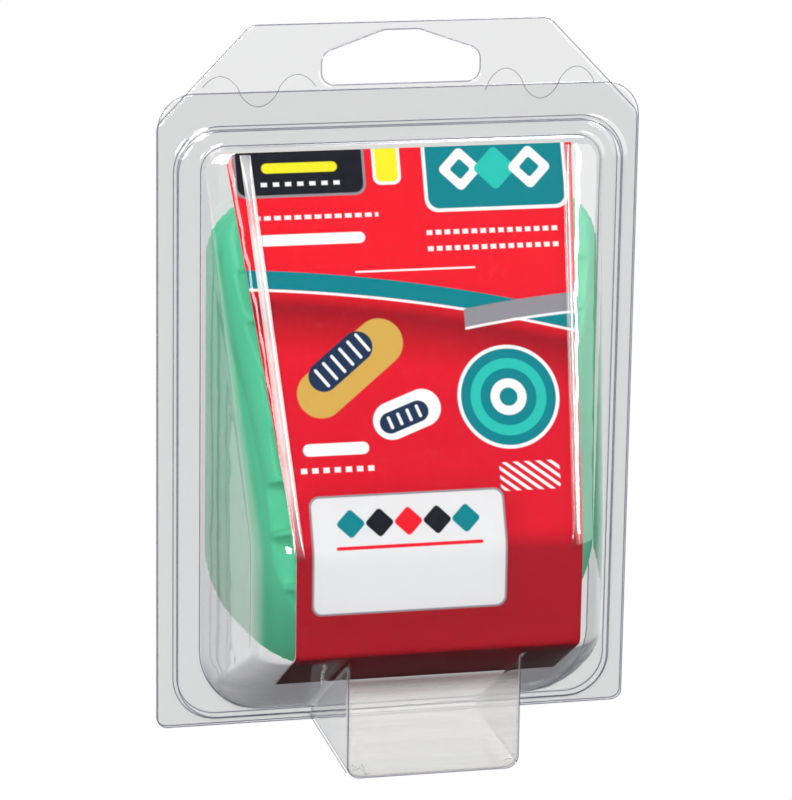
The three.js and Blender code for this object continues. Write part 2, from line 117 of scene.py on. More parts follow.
# Heel cup
CUP_LENGTH = 89.5
CUP_WIDTH = 75.8
CUP_WALL = 1.4
CUP_HEEL_ROUND = 24
CUP_TOE_ROUND = 11
CUP_SIDE_FLARE = (0.2, 0.86)
CUP_HEEL_FLARE = 0.13
SOLE_SIDE_ROUND = (6, 8)
SOLE_HEEL_ROUND = (27, 20)
HOLLOW_SIDE_ROUND = (9, 7)
HOLLOW_HEEL_ROUND = (20, 15)
HEEL_POWER = 4  # how soon the sides' shape turns into the heel's
ROUND_MOST = 0.7  # of the height up to the rim
FLOOR_HEEL = 6.6
FLOOR_TOE = 2
WAFFLE_PITCH = 10.4
WAFFLE_RIB = 1.3
WAFFLE_MEMBRANE = 1.9
WAFFLE_LEAST_DEPTH = 0.8
OPEN_CELL_REACH = 5
OPEN_CELLS_UP_TO = 42
CUP_TO_CARD = 0.8
CUP_TOE_BELOW_TOP = 9
NEST_RISE_TOE = 3.4
NEST_TILT = math.radians(4)
NEST_SLIDE = 0.8
NEST_TO_PLUG = 0.4

# Dressed pieces only: rims that lean out, and the sheet's lines, cuts and ridges
RIM_SPREAD = 0.038
RIM_SPREAD_FROM = 25
RIM_SPREAD_OVER = 20
LINE_RADIUS = 0.13
CREASE_RADIUS = 0.09
DIE_CUT_RADIUS = 0.075
DIE_CUT_MIDDLE = 129.6
DIE_CUT_SWING = 3.1
DIE_CUT_POWER = 0.7  # below 1: arches fuller than a cosine's
DIE_CUT_POINTS = 60
DIE_CUTS = ((-39.5, -17.1, -36.1, 7.7), (16.9, 39.2, 21.1, 7.2))  # start, end, first peak, half wave
FOOT_LINE_HEIGHT = 1.0
FOOT_LINE_SINK = 0.4  # of the foot's edge round
CREASE_LIFT = 0.02
CREASES = (  # start and end as (x, z), height, waves, points
    ((-16.2, 18.0), (16.0, 18.9), 0.16, 6, 40), ((-16.4, 14.6), (16.2, 15.4), 0.10, 4, 40),
    ((-16.6, 3.0), (-12.8, 1.2), 0.35, 1, 14), ((-14.6, 3.2), (-13.4, 0.9), 0.25, 1, 10),
    ((-16.8, 2.0), (-15.0, 2.6), 0.2, 1, 8), ((13.4, 1.4), (16.2, 3.2), 0.2, 1, 10))
RIDGE_SINK = 0.05
RIDGE_OUT = 0.9
RIDGE_BELOW_TOP = 1.2
RIDGE_PAST_BAND = 1.5
RIDGE_LEVELS = 90
RIDGE_ARC_STEPS = 10
RIDGE_TAPER_LEVELS = 12
RIDGE_WITHIN_DEPTH = 0.02

# Mesh fineness
ARC_STEPS = 10
BUBBLE_CORNER_STEPS = 16
CUP_HEEL_STEPS = 30
CUP_TOE_STEPS = 12
CUP_SIDE_STEPS = 14
CUP_ROUND_STEPS = 14
CARD_COLUMNS = 24
CARD_FOLD_STEPS = 16
CARD_CRISP_ANGLE = math.radians(35)
LEVEL_GAP = 0.05
SHELL_FINENESS = (0.62, 3, 0.42)  # voxel in mm, rounds of smoothing, share of the faces that stays
REAR_FINENESS = (0.5, 2, 0.2)
CUP_FINENESS = (0.5, 2, 0.24)
BEHIND = 6  # how far solids reach behind the sheet before they are cut open, mm
PAST = 2  # how far a form reaches past what it meets or cuts, mm
LEAST_ROOM = 0.1


def lerp(a, b, t):
    return a + (b - a) * t


def clamp(value, low, high):
    return max(low, min(high, value))


# Outlines: corners are (p, q, round)

def direction(a, b):
    length = math.hypot(b[0] - a[0], b[1] - a[1])
    return (b[0] - a[0]) / length, (b[1] - a[1]) / length


def corner_arc(before, corner, after, steps):
    inward, onward = direction(corner, before), direction(corner, after)
    opening = math.acos(clamp(inward[0] * onward[0] + inward[1] * onward[1], -1, 1))
    radius = corner[2]
    reach = radius / math.tan(opening / 2)
    bisector = (inward[0] + onward[0], inward[1] + onward[1])
    to_centre = radius / math.sin(opening / 2) / math.hypot(*bisector)
    centre = (corner[0] + bisector[0] * to_centre, corner[1] + bisector[1] * to_centre)
    start = math.atan2(corner[1] + inward[1] * reach - centre[1], corner[0] + inward[0] * reach - centre[0])
    end = math.atan2(corner[1] + onward[1] * reach - centre[1], corner[0] + onward[0] * reach - centre[0])
    turn = math.atan2(math.sin(end - start), math.cos(end - start))
    angles = [start + turn * i / steps for i in range(steps + 1)]
    return [(centre[0] + radius * math.cos(a), centre[1] + radius * math.sin(a)) for a in angles]


def rounded_loop(corners, steps=ARC_STEPS):
    count = len(corners)
    points = []
    for i, corner in enumerate(corners):
        points += corner_arc(corners[i - 1], corner, corners[(i + 1) % count], steps)
    return points


def rounded_path(corners, steps=ARC_STEPS):
    points = []
    for i, corner in enumerate(corners):
        is_end = i in (0, len(corners) - 1)
        points += [corner[:2]] if is_end or not corner[2] else corner_arc(
            corners[i - 1], corner, corners[i + 1], steps)
    return points


def offset_path(corners, distance):
    sides = [direction(a, b) for a, b in zip(corners, corners[1:])]
    moved = []
    for i, corner in enumerate(corners):
        before, after = sides[max(i - 1, 0)], sides[min(i, len(sides) - 1)]
        normal = (-(before[1] + after[1]), before[0] + after[0])
        size = math.hypot(*normal)
        stretch = distance / (size / 2)
        radius = max(corner[2] - distance, 0.2) if corner[2] else 0
        moved.append((corner[0] + normal[0] / size * stretch, corner[1] + normal[1] / size * stretch, radius))
    return moved


def rounded_box(width, bottom, top, bottom_round, top_round):
    half = width / 2
    return [(-half, bottom, bottom_round), (half, bottom, bottom_round),
            (half, top, top_round), (-half, top, top_round)]


# Solids from rings of points, in mm about the parting plane

def new_object(name, vertices, faces):
    mesh = bpy.data.meshes.new(name)
    mesh.from_pydata([tuple(v) for v in vertices], [], faces)
    mesh.validate()
    obj = bpy.data.objects.new(name, mesh)
    bpy.context.scene.collection.objects.link(obj)
    return obj


def outward(obj):
    made = bmesh.new()
    made.from_mesh(obj.data)
    bmesh.ops.recalc_face_normals(made, faces=made.faces)
    made.to_mesh(obj.data)
    made.free()
    return obj


def loft(name, rings):
    count = len(rings[0])
    last = (len(rings) - 1) * count
    vertices = [p for ring in rings for p in ring]
    vertices += [np.mean(rings[0], axis=0), np.mean(rings[-1], axis=0)]
    faces = []
    for i in range(count):
        after = (i + 1) % count
        faces.append((last + count, after, i))
        faces.append((last + count + 1, last + i, last + after))
        for a in range(0, last, count):
            faces.append((a + i, a + after, a + after + count, a + i + count))
    return outward(new_object(name, vertices, faces))


def ring_at(loop, y):
    return [(p, y, q) for p, q in loop]


def plate(name, loop, back, front):
    return loft(name, [ring_at(loop, back), ring_at(loop, front)])


def apply_modifiers(obj):
    depsgraph = bpy.context.evaluated_depsgraph_get()
    mesh = bpy.data.meshes.new_from_object(obj.evaluated_get(depsgraph))
    old = obj.data
    obj.modifiers.clear()
    obj.data = mesh
    bpy.data.meshes.remove(old)
    return obj


def combine(base, others, operation):
    for other in others:
        step = base.modifiers.new("boolean", "BOOLEAN")
        step.operation = operation
        step.solver = "MANIFOLD"
        step.object = other
        apply_modifiers(base)
        bpy.data.objects.remove(other)
    return base


def soften(obj, voxel, rounds, keep):
    """Remeshes a solid evenly, rounds its edges as moulding does, and thins its flat areas out again."""
    remesh = obj.modifiers.new("remesh", "REMESH")
    remesh.mode = "VOXEL"
    remesh.voxel_size = voxel
    smooth = obj.modifiers.new("smooth", "SMOOTH")
    smooth.factor = 0.5
    smooth.iterations = rounds
    thin = obj.modifiers.new("thin", "DECIMATE")
    thin.ratio = keep
    return apply_modifiers(obj)


def cut_open(obj, y):
    """Keeps what lies in front of y."""
    made = bmesh.new()
    made.from_mesh(obj.data)
    geometry = made.verts[:] + made.edges[:] + made.faces[:]
    bmesh.ops.bisect_plane(made, geom=geometry, plane_co=(0, y, 0), plane_no=(0, 1, 0), clear_outer=True)
    made.to_mesh(obj.data)
    made.free()
    return obj


def settle(obj, matrix=Matrix.Identity(4)):
    """Takes a piece from mm about the parting plane into the frame, and shades it smooth."""
    obj.data.transform(matrix)
    obj.data.transform(Matrix.Translation((0, SHIFT_Y, 0)))
    obj.data.transform(Matrix.Scale(MM, 4))
    for face in obj.data.polygons:
        face.use_smooth = True
    return obj


def raised_field(name, inset, back, root, front):
    def loop(extra):
        corner = STEP_ROUND - inset - extra
        return rounded_loop(rounded_box(
            STEP_WIDTH - 2 * (inset + extra), STEP_BOTTOM + inset + extra, STEP_TOP - inset - extra,
            corner, corner))
    return loft(name, [ring_at(loop(0), back), ring_at(loop(0), root), ring_at(loop(STEP_SLOPE), front)])


def wedge_corners(inset):
    root_slope = (BAND_BOTTOM - BUBBLE_BOTTOM) / (BUBBLE_DEPTH + STEP_FACE)
    return offset_path([
        (-BUBBLE_TOP_DEPTH, BUBBLE_TOP, 0),
        (-BUBBLE_DEPTH, BAND_TOP, BAND_TOP_BEND),
        (-BUBBLE_DEPTH, BAND_BOTTOM, BAND_BOTTOM_BEND),
        (PAST, BUBBLE_BOTTOM + root_slope * (STEP_FACE - PAST), 0),
    ], inset)


def depth_at(path, z):
    for upper, lower in zip(path, path[1:]):
        if lower[1] <= z <= upper[1]:
            return -lerp(upper[0], lower[0], (upper[1] - z) / max(upper[1] - lower[1], 1e-6))
    return -path[0][0] if z > path[0][1] else -path[-1][0]


def corner_loss(radius, from_end):
    missing = clamp(radius - from_end, 0, radius)
    return radius - math.sqrt(radius * radius - missing * missing)


def bubble_section(path, z, back):
    top_loss = corner_loss(BUBBLE_TOP_ROUND, BUBBLE_TOP - z)
    half = BUBBLE_WIDTH / 2 - max(top_loss, corner_loss(BUBBLE_BOTTOM_ROUND, z - BUBBLE_BOTTOM))
    depth = depth_at(path, z) - corner_loss(BUBBLE_TOP_EDGE, BUBBLE_TOP - z)
    root = -STEP_FACE
    corner_depth = min(CORNER_DEPTH, max(depth - root, LEAST_ROOM) * CORNER_SHARE)
    side = half - SIDE_DRAFT * max(depth - corner_depth - root, 0)
    toward_band = clamp((BUBBLE_TOP - z) / (BUBBLE_TOP - BAND_TOP), 0, 1)
    half_face = lerp(FACE_WIDTH_TOP, FACE_WIDTH_BAND, toward_band) / 2
    face = min(half_face, side - CORNER_LEAST_WIDTH * corner_depth)
    right = [(half, back, z), (half, -min(root, depth - corner_depth), z)]
    for i in range(BUBBLE_CORNER_STEPS + 1):
        angle = math.pi / 2 * i / BUBBLE_CORNER_STEPS
        x = face + (side - face) * math.cos(angle)
        right.append((x, -(depth - corner_depth + corner_depth * math.sin(angle)), z))
    left = [(-x, y, height) for x, y, height in reversed(right)]
    return right + left


def bubble_solid(name, back):
    path = rounded_path(wedge_corners(0))
    levels = [q for _, q in path]
    for i in range(ARC_STEPS + 1):
        share = 1 - math.cos(math.pi / 2 * i / ARC_STEPS)
        levels += [BUBBLE_TOP - BUBBLE_TOP_ROUND * share, BUBBLE_BOTTOM + BUBBLE_BOTTOM_ROUND * share]
    inside = sorted(z for z in levels if BUBBLE_BOTTOM - 1e-6 <= z <= BUBBLE_TOP + 1e-6)
    distinct = [z for i, z in enumerate(inside) if i == 0 or z - inside[i - 1] > LEVEL_GAP]
    return loft(name, [bubble_section(path, z, back) for z in distinct])


def foot_solid(name, back):
    def loop(extra):
        return rounded_loop(rounded_box(
            FOOT_WIDTH - 2 * extra, extra, BAND_BOTTOM + PLASTIC, FOOT_CORNER_ROUND, FOOT_CORNER_ROUND))
    rings = [ring_at(loop(0), back)]
    for i in range(ARC_STEPS + 1):
        angle = math.pi / 2 * i / ARC_STEPS
        extra = FOOT_EDGE_ROUND * (1 - math.cos(angle)) * FOOT_EDGE_DRAW
        rings.append(ring_at(loop(extra), -FOOT_DEPTH + FOOT_EDGE_ROUND * (1 - math.sin(angle))))
    return loft(name, rings)


def front_sheet():
    outline = rounded_loop(rounded_box(FLANGE_WIDTH, 0, FLANGE_HEIGHT, FLANGE_BOTTOM_ROUND, FLANGE_TOP_ROUND))
    solid = combine(plate("clear_front", outline, BEHIND, FLANGE_FACE), [
        raised_field("step", 0, BEHIND, FLANGE_FACE, STEP_FACE),
        bubble_solid("bubble", BEHIND),
        foot_solid("foot", BEHIND),
    ], "UNION")
    return settle(cut_open(soften(solid, *SHELL_FINENESS), -SEAM))


def tab_loop():
    half, top = FLANGE_WIDTH / 2, TAB_TOP_WIDTH / 2
    return rounded_loop([
        (-half, 0, FLANGE_BOTTOM_ROUND), (half, 0, FLANGE_BOTTOM_ROUND), (half, TAB_SHOULDER, TAB_ROUND),
        (top, TAB_TOP, TAB_ROUND), (-top, TAB_TOP, TAB_ROUND), (-half, TAB_SHOULDER, TAB_ROUND)])


def hole_loop():
    half, peak = HOLE_WIDTH / 2, HOLE_PEAK_WIDTH / 2
    return rounded_loop([
        (-half, HOLE_BOTTOM, HOLE_ROUND), (half, HOLE_BOTTOM, HOLE_ROUND), (half, HOLE_SHOULDER, HOLE_ROUND),
        (peak, HOLE_PEAK, HOLE_ROUND), (-peak, HOLE_PEAK, HOLE_ROUND), (-half, HOLE_SHOULDER, HOLE_ROUND)])


def rear_sheet():
    inset = PLASTIC + PLUG_CLEARANCE
    solid = combine(plate("clear_rear", tab_loop(), BEHIND, SEAM), [
        raised_field("plug", inset, BEHIND, SEAM, PLUG_FACE)], "UNION")
    solid = combine(solid, [plate("hole", hole_loop(), BEHIND + 1, PLUG_FACE - 1)], "DIFFERENCE")
    return settle(cut_open(soften(solid, *REAR_FINENESS), REAR_FACE))


def tubes(name, paths, radius):
    """Thin round lines along (points, closed) paths."""
    curve = bpy.data.curves.new(name, "CURVE")
    curve.dimensions = "3D"
    curve.bevel_depth = radius
    curve.bevel_resolution = 1
    curve.use_fill_caps = True
    for points, closed in paths:
        spline = curve.splines.new("POLY")
        spline.points.add(len(points) - 1)
        for target, point in zip(spline.points, points):
            target.co = (*point, 1)
        spline.use_cyclic_u = closed
    made = bpy.data.objects.new(name, curve)
    bpy.context.scene.collection.objects.link(made)
    mesh = bpy.data.meshes.new_from_object(made.evaluated_get(bpy.context.evaluated_depsgraph_get()))
    bpy.data.objects.remove(made)
    bpy.data.curves.remove(curve)
    obj = bpy.data.objects.new(name, mesh)
    bpy.context.scene.collection.objects.link(obj)
    return settle(obj)


def front_lines():
    inset = LINE_RADIUS
    edge = rounded_loop(rounded_box(FLANGE_WIDTH - 2 * inset, inset, FLANGE_HEIGHT - inset,
                                    FLANGE_BOTTOM_ROUND, FLANGE_TOP_ROUND))
    root = rounded_loop(rounded_box(STEP_WIDTH, STEP_BOTTOM, STEP_TOP, STEP_ROUND, STEP_ROUND))
    top = rounded_loop(rounded_box(
        STEP_WIDTH - 2 * STEP_SLOPE, STEP_BOTTOM + STEP_SLOPE, STEP_TOP - STEP_SLOPE,
        STEP_ROUND - STEP_SLOPE, STEP_ROUND - STEP_SLOPE))
    half, foot = BUBBLE_WIDTH / 2, FOOT_WIDTH / 2
    bubble = rounded_path([
        (foot, BUBBLE_BOTTOM, 0), (half, BUBBLE_BOTTOM, BUBBLE_BOTTOM_ROUND),
        (half, BUBBLE_TOP, BUBBLE_TOP_ROUND), (-half, BUBBLE_TOP, BUBBLE_TOP_ROUND),
        (-half, BUBBLE_BOTTOM, BUBBLE_BOTTOM_ROUND), (-foot, BUBBLE_BOTTOM, 0)])
    return [(ring_at(edge, FLANGE_FACE + inset), True), (ring_at(root, FLANGE_FACE), True),
            (ring_at(top, STEP_FACE), True), (ring_at(bubble, STEP_FACE), False)]


def foot_lines():
    side, low = FOOT_WIDTH / 2 - LINE_RADIUS, LINE_RADIUS
    front = rounded_path([(-side, BAND_BOTTOM - 1, 0), (-side, low, FOOT_CORNER_ROUND),
                          (side, low, FOOT_CORNER_ROUND), (side, BAND_BOTTOM - 1, 0)])
    lines = [(ring_at(front, -FOOT_DEPTH + FOOT_EDGE_ROUND * FOOT_LINE_SINK), False)]
    for x in (-side, side):
        ends = [(x, y, FOOT_LINE_HEIGHT) for y in (-FOOT_DEPTH + FOOT_EDGE_ROUND, STEP_FACE)]
        lines.append((ends, False))
    return lines


def wave(start, end, height, waves, count):
    """A line between two (x, z) points that wavers, for a crease that a mould or a hand has left."""
    points = []
    for i in range(count + 1):
        t = i / count
        phase = 2 * math.pi * waves * t
        swing = height * (math.sin(phase) + 0.5 * math.sin(phase * 2.3 + 1))
        points.append((lerp(start[0], end[0], t), lerp(start[1], end[1], t) + swing))
    return points


def foot_creases():
    return [(ring_at(wave(*crease), -FOOT_DEPTH - CREASE_LIFT), False) for crease in CREASES]


def die_cut(start, end, first_peak, half_wave):
    """One arch, a trough and a second arch, cut through the sheet."""
    points = []
    for i in range(DIE_CUT_POINTS + 1):
        x = lerp(start, end, i / DIE_CUT_POINTS)
        swing = math.cos(math.pi * (x - first_peak) / half_wave)
        points.append((x, DIE_CUT_MIDDLE + DIE_CUT_SWING * math.copysign(abs(swing) ** DIE_CUT_POWER, swing)))
    return points


def rear_lines():
    inset = LINE_RADIUS
    half, top = FLANGE_WIDTH / 2 - inset, TAB_TOP_WIDTH / 2 - inset
    edge = rounded_loop([
        (-half, inset, FLANGE_BOTTOM_ROUND), (half, inset, FLANGE_BOTTOM_ROUND),
        (half, TAB_SHOULDER, TAB_ROUND), (top, TAB_TOP - inset, TAB_ROUND),
        (-top, TAB_TOP - inset, TAB_ROUND), (-half, TAB_SHOULDER, TAB_ROUND)])
    plug_inset = PLASTIC + PLUG_CLEARANCE
    corner = STEP_ROUND - plug_inset
    plug = rounded_loop(rounded_box(
        STEP_WIDTH - 2 * plug_inset, STEP_BOTTOM + plug_inset, STEP_TOP - plug_inset, corner, corner))
    return [(ring_at(edge, REAR_FACE - inset), True), (ring_at(hole_loop(), SEAM + inset), True),
            (ring_at(plug, SEAM), True)]


def ridge(name, side, width, height):
    """A moulded ridge where the bubble's sloped face turns into its corner."""
    path = rounded_path(wedge_corners(0))
    levels = np.linspace(BUBBLE_TOP - RIDGE_BELOW_TOP, BAND_TOP - RIDGE_PAST_BAND, RIDGE_LEVELS)
    rings = []
    for i, z in enumerate(levels):
        depth = depth_at(path, z)
        toward_band = clamp((BUBBLE_TOP - z) / (BUBBLE_TOP - BAND_TOP), 0, 1)
        x = lerp(FACE_WIDTH_TOP, FACE_WIDTH_BAND, toward_band) / 2 + RIDGE_OUT
        from_end = min(i, RIDGE_LEVELS - 1 - i) / RIDGE_TAPER_LEVELS
        taper = math.sin(math.pi * clamp(from_end, 0.02, 1) / 2)
        ring = []
        for k in range(RIDGE_ARC_STEPS + 1):
            angle = math.pi * k / RIDGE_ARC_STEPS
            y = -depth + RIDGE_SINK - height * taper * math.sin(angle)
            y = max(y, RIDGE_WITHIN_DEPTH - BUBBLE_DEPTH)
            ring.append((side * (x + width / 2 * math.cos(angle)), y, z))
        rings.append(ring)
    vertices = [p for ring in rings for p in ring]
    row = RIDGE_ARC_STEPS + 1
    faces = [(a + k, a + k + 1, a + row + k + 1, a + row + k)
             for a in range(0, (len(rings) - 1) * row, row) for k in range(RIDGE_ARC_STEPS)]
    return settle(new_object(name, vertices, faces))


# Card: a folded strip, with its print's coordinates in a UV map (x and the length along the strip, in metres)

def card_strip():
    outer = PLASTIC + CARD_CLEARANCE

    def trimmed(inset):
        corners = wedge_corners(inset)
        down = direction(corners[0], corners[1])
        trim = (corners[0][1] - CARD_TOP) / -down[1]
        flap = direction(corners[2], corners[3])
        start = (corners[0][0] + down[0] * trim, corners[0][1] + down[1] * trim, 0)
        end = (corners[2][0] + flap[0] * CARD_FLAP, corners[2][1] + flap[1] * CARD_FLAP, 0)
        return rounded_path([start, corners[1], corners[2], end], CARD_FOLD_STEPS)

    face, back = trimmed(outer), trimmed(outer + CARD_THICKNESS)
    columns = CARD_COLUMNS
    vertices, faces, places = [], [], []
    length = 0
    for i, point in enumerate(face):
        if i:
            length += math.dist(point, face[i - 1])
        share = clamp((CARD_TOP - point[1]) / (CARD_TOP - BAND_TOP), 0, 1)
        half = lerp(CARD_TOP_WIDTH, CARD_BAND_WIDTH, share) / 2
        middle = lerp(CARD_TOP_SHIFT, CARD_BAND_SHIFT, share)
        for side in (face, back):
            for k in range(columns + 1):
                x = middle + half * (2 * k / columns - 1)
                vertices.append((x, side[i][0], side[i][1]))
                places.append((x * MM, length * MM))
    row = 2 * (columns + 1)
    for i in range(len(face) - 1):
        a = i * row
        for k in range(columns):
            faces.append((a + k, a + k + 1, a + row + k + 1, a + row + k))
            b = a + columns + 1 + k
            faces.append((b + 1, b, b + row, b + row + 1))
        for k, flip in ((0, False), (columns, True)):
            edge = (a + k, a + row + k, a + row + columns + 1 + k, a + columns + 1 + k)
            faces.append(edge[::-1] if flip else edge)
    for a, flip in ((0, True), ((len(face) - 1) * row, False)):
        for k in range(columns):
            edge = (a + k, a + k + 1, a + columns + 2 + k, a + columns + 1 + k)
            faces.append(edge[::-1] if flip else edge)
    obj = new_object("printed_card", vertices, faces)
    layer = obj.data.uv_layers.new(name="print")
    for loop in obj.data.loops:
        layer.data[loop.index].uv = places[loop.vertex_index]
    outward(obj)
    settle(obj)
    for polygon in obj.data.polygons:
        polygon.use_smooth = abs(polygon.normal.x) < 0.5
    obj.modifiers.new("crisp", "EDGE_SPLIT").split_angle = CARD_CRISP_ANGLE
    return apply_modifiers(obj)


# Heel cup, in its own frame: heel at y = 0, toe at y = CUP_LENGTH, sole on z = 0

FRONT_LINE = wedge_corners(PLASTIC + CARD_CLEARANCE + CARD_THICKNESS + CUP_TO_CARD)
FRONT_DOWN = direction(FRONT_LINE[0], FRONT_LINE[1])
LEAN = math.atan2(-FRONT_DOWN[1], -FRONT_DOWN[0])
HEEL_REACH = CUP_TOE_BELOW_TOP + CUP_LENGTH
HEEL_POINT = (FRONT_LINE[0][0] + FRONT_DOWN[0] * HEEL_REACH, FRONT_LINE[0][1] + FRONT_DOWN[1] * HEEL_REACH)


def rim_height(y):
    sole_y = CUP_LENGTH + NEST_SLIDE + (y - CUP_LENGTH) * math.cos(NEST_TILT)
    sole_z = NEST_RISE_TOE - (y - CUP_LENGTH) * math.sin(NEST_TILT)
    room = PLUG_FACE - NEST_TO_PLUG - HEEL_POINT[0] + FRONT_DOWN[0] * sole_y + FRONT_DOWN[1] * sole_z
    return room / math.sin(LEAN + NEST_TILT)


def floor_height(y):
    return lerp(FLOOR_HEEL, FLOOR_TOE, y / CUP_LENGTH)


def rim_stations():
    half = CUP_WIDTH / 2
    corners = [(half, 0, CUP_HEEL_ROUND), (half, CUP_LENGTH, CUP_TOE_ROUND),
               (-half, CUP_LENGTH, CUP_TOE_ROUND), (-half, 0, CUP_HEEL_ROUND)]
    stations = []
    for i, corner in enumerate(corners):
        radius = corner[2]
        is_toe = corner[1] > 0
        steps = CUP_TOE_STEPS if is_toe else CUP_HEEL_STEPS
        arc = corner_arc(corners[i - 1], corner, corners[(i + 1) % 4], steps)
        centre = (corner[0] - math.copysign(radius, corner[0]), corner[1] + (-radius if is_toe else radius))
        for p, q in arc:
            stations.append((p, q, (centre[0] - p) / radius, (centre[1] - q) / radius))
        if i in (0, 2):
            to = CUP_HEEL_ROUND if is_toe else CUP_LENGTH - CUP_TOE_ROUND
            for k in range(1, CUP_SIDE_STEPS):
                q = lerp(arc[-1][1], to, k / CUP_SIDE_STEPS)
                stations.append((corner[0], q, -math.copysign(1, corner[0]), 0))
    return stations


def wall_shape(q, inward_q, wall, bottom, side_round, heel_round):
    heel = max(inward_q, 0) ** HEEL_POWER
    flare = lerp(lerp(*CUP_SIDE_FLARE, clamp(q / CUP_LENGTH, 0, 1)), CUP_HEEL_FLARE, heel)
    rim = rim_height(q)
    room = max(rim - bottom, LEAST_ROOM)
    up = min(lerp(side_round[1], heel_round[1], heel), room * ROUND_MOST)
    across = lerp(side_round[0], heel_round[0], heel) * min(1, room / (2 * side_round[1]))
    return flare, rim, up, across, wall + flare * (rim - bottom - up)


def cup_body(name, wall, bottom_of, side_round, heel_round, above):
    """One closed form of the cup. With a wall, its rounds lean with the flare, so the wall never thins."""
    stations = rim_stations()
    rings = []
    for level in range(CUP_ROUND_STEPS + 2):
        angle = math.pi / 2 * level / CUP_ROUND_STEPS
        ring = []
        for p, q, inward_p, inward_q in stations:
            bottom = bottom_of(q)
            flare, rim, up, across, foot = wall_shape(q, inward_q, wall, bottom, side_round, heel_round)
            if level <= CUP_ROUND_STEPS:
                inward, z = foot + across * (1 - math.sin(angle)), bottom + up * (1 - math.cos(angle))
                inward += flare * up * math.cos(angle) if wall else 0
            else:
                inward, z = wall - flare * above, rim + above
            ring.append((p + inward_p * inward, q + inward_q * inward, z))
        rings.append(ring)
    return loft(name, rings)


def inside_rim(x, y):
    half = CUP_WIDTH / 2
    is_heel = y < CUP_LENGTH / 2
    radius = CUP_HEEL_ROUND if is_heel else CUP_TOE_ROUND
    from_end = y if is_heel else CUP_LENGTH - y
    over_x, over_y = abs(x) - (half - radius), radius - from_end
    if over_x > 0 and over_y > 0:
        reach = math.hypot(over_x, over_y)
        return (1 if is_heel else -1) * over_y / reach, radius - reach
    from_side = half - abs(x)
    return (0, from_side) if from_side < from_end else ((1 if is_heel else -1), from_end)


def hollow_height(x, y):
    inward_q, depth = inside_rim(x, y)
    bottom = floor_height(y)
    _, _, up, across, foot = wall_shape(y, inward_q, CUP_WALL, bottom, HOLLOW_SIDE_ROUND, HOLLOW_HEEL_ROUND)
    into_round = clamp((depth - foot) / across, 0, 1)
    return bottom + up * (1 - math.sqrt(1 - (1 - into_round) ** 2))


def waffle_cells():
    size = WAFFLE_PITCH - WAFFLE_RIB
    columns, rows = int(CUP_WIDTH / 2 / WAFFLE_PITCH), int(CUP_LENGTH / WAFFLE_PITCH)
    margin = CUP_LENGTH - rows * WAFFLE_PITCH
    reach = size / 2
    cells = []
    for row in range(rows):
        for column in range(-columns, columns + 1):
            x, y = column * WAFFLE_PITCH, margin / 2 + (row + 0.5) * WAFFLE_PITCH
            inward_q, depth = inside_rim(x, y)
            foot = wall_shape(y, inward_q, 0, 0, SOLE_SIDE_ROUND, SOLE_HEEL_ROUND)[4]
            ends = [(x + a * reach, y + b * reach) for a, b in ((-1, -1), (1, -1), (1, 1), (-1, 1))]
            heights = [hollow_height(*end) - WAFFLE_MEMBRANE for end in ends]
            is_closed = depth > foot
            open_side = OPEN_CELL_REACH if y < OPEN_CELLS_UP_TO else 0
            if depth > foot - open_side and min(heights) > WAFFLE_LEAST_DEPTH:
                tops = [min(heights)] * len(ends) if is_closed else heights
                cells.append(loft("cell", [[(*end, -PAST) for end in ends],
                                           [(*end, top) for end, top in zip(ends, tops)]]))
    return cells


def join(objects, name):
    made = bmesh.new()
    for obj in objects:
        made.from_mesh(obj.data)
        bpy.data.objects.remove(obj)
    mesh = bpy.data.meshes.new(name)
    made.to_mesh(mesh)
    made.free()
    obj = bpy.data.objects.new(name, mesh)
    bpy.context.scene.collection.objects.link(obj)
    return obj


def heel_cup():
    outside = cup_body("cup", 0, lambda y: 0, SOLE_SIDE_ROUND, SOLE_HEEL_ROUND, 0)
    hollow = cup_body("hollow", CUP_WALL, floor_height, HOLLOW_SIDE_ROUND, HOLLOW_HEEL_ROUND, PAST)
    cut = combine(outside, [hollow, join(waffle_cells(), "cells")], "DIFFERENCE")
    return soften(cut, *CUP_FINENESS)


def spread(obj):
    """Leans a placed cup's rim out to the bubble's walls, as soft rubber does."""
    for vertex in obj.data.vertices:
        toward_rim = clamp((vertex.co.y / MM - SHIFT_Y + RIM_SPREAD_FROM) / RIM_SPREAD_OVER, 0, 1)
        vertex.co.x *= 1 + RIM_SPREAD * toward_rim
    return obj


def nest_matrix(is_inner):
    lean = (Matrix.Translation((0, *HEEL_POINT)) @ Matrix.Rotation(LEAN, 4, "X")
            @ Matrix.Rotation(math.pi, 4, "Y"))
    if not is_inner:
        return lean
    return (lean @ Matrix.Translation((0, CUP_LENGTH + NEST_SLIDE, NEST_RISE_TOE))
            @ Matrix.Rotation(-NEST_TILT, 4, "X") @ Matrix.Translation((0, -CUP_LENGTH, 0)))


# Materials

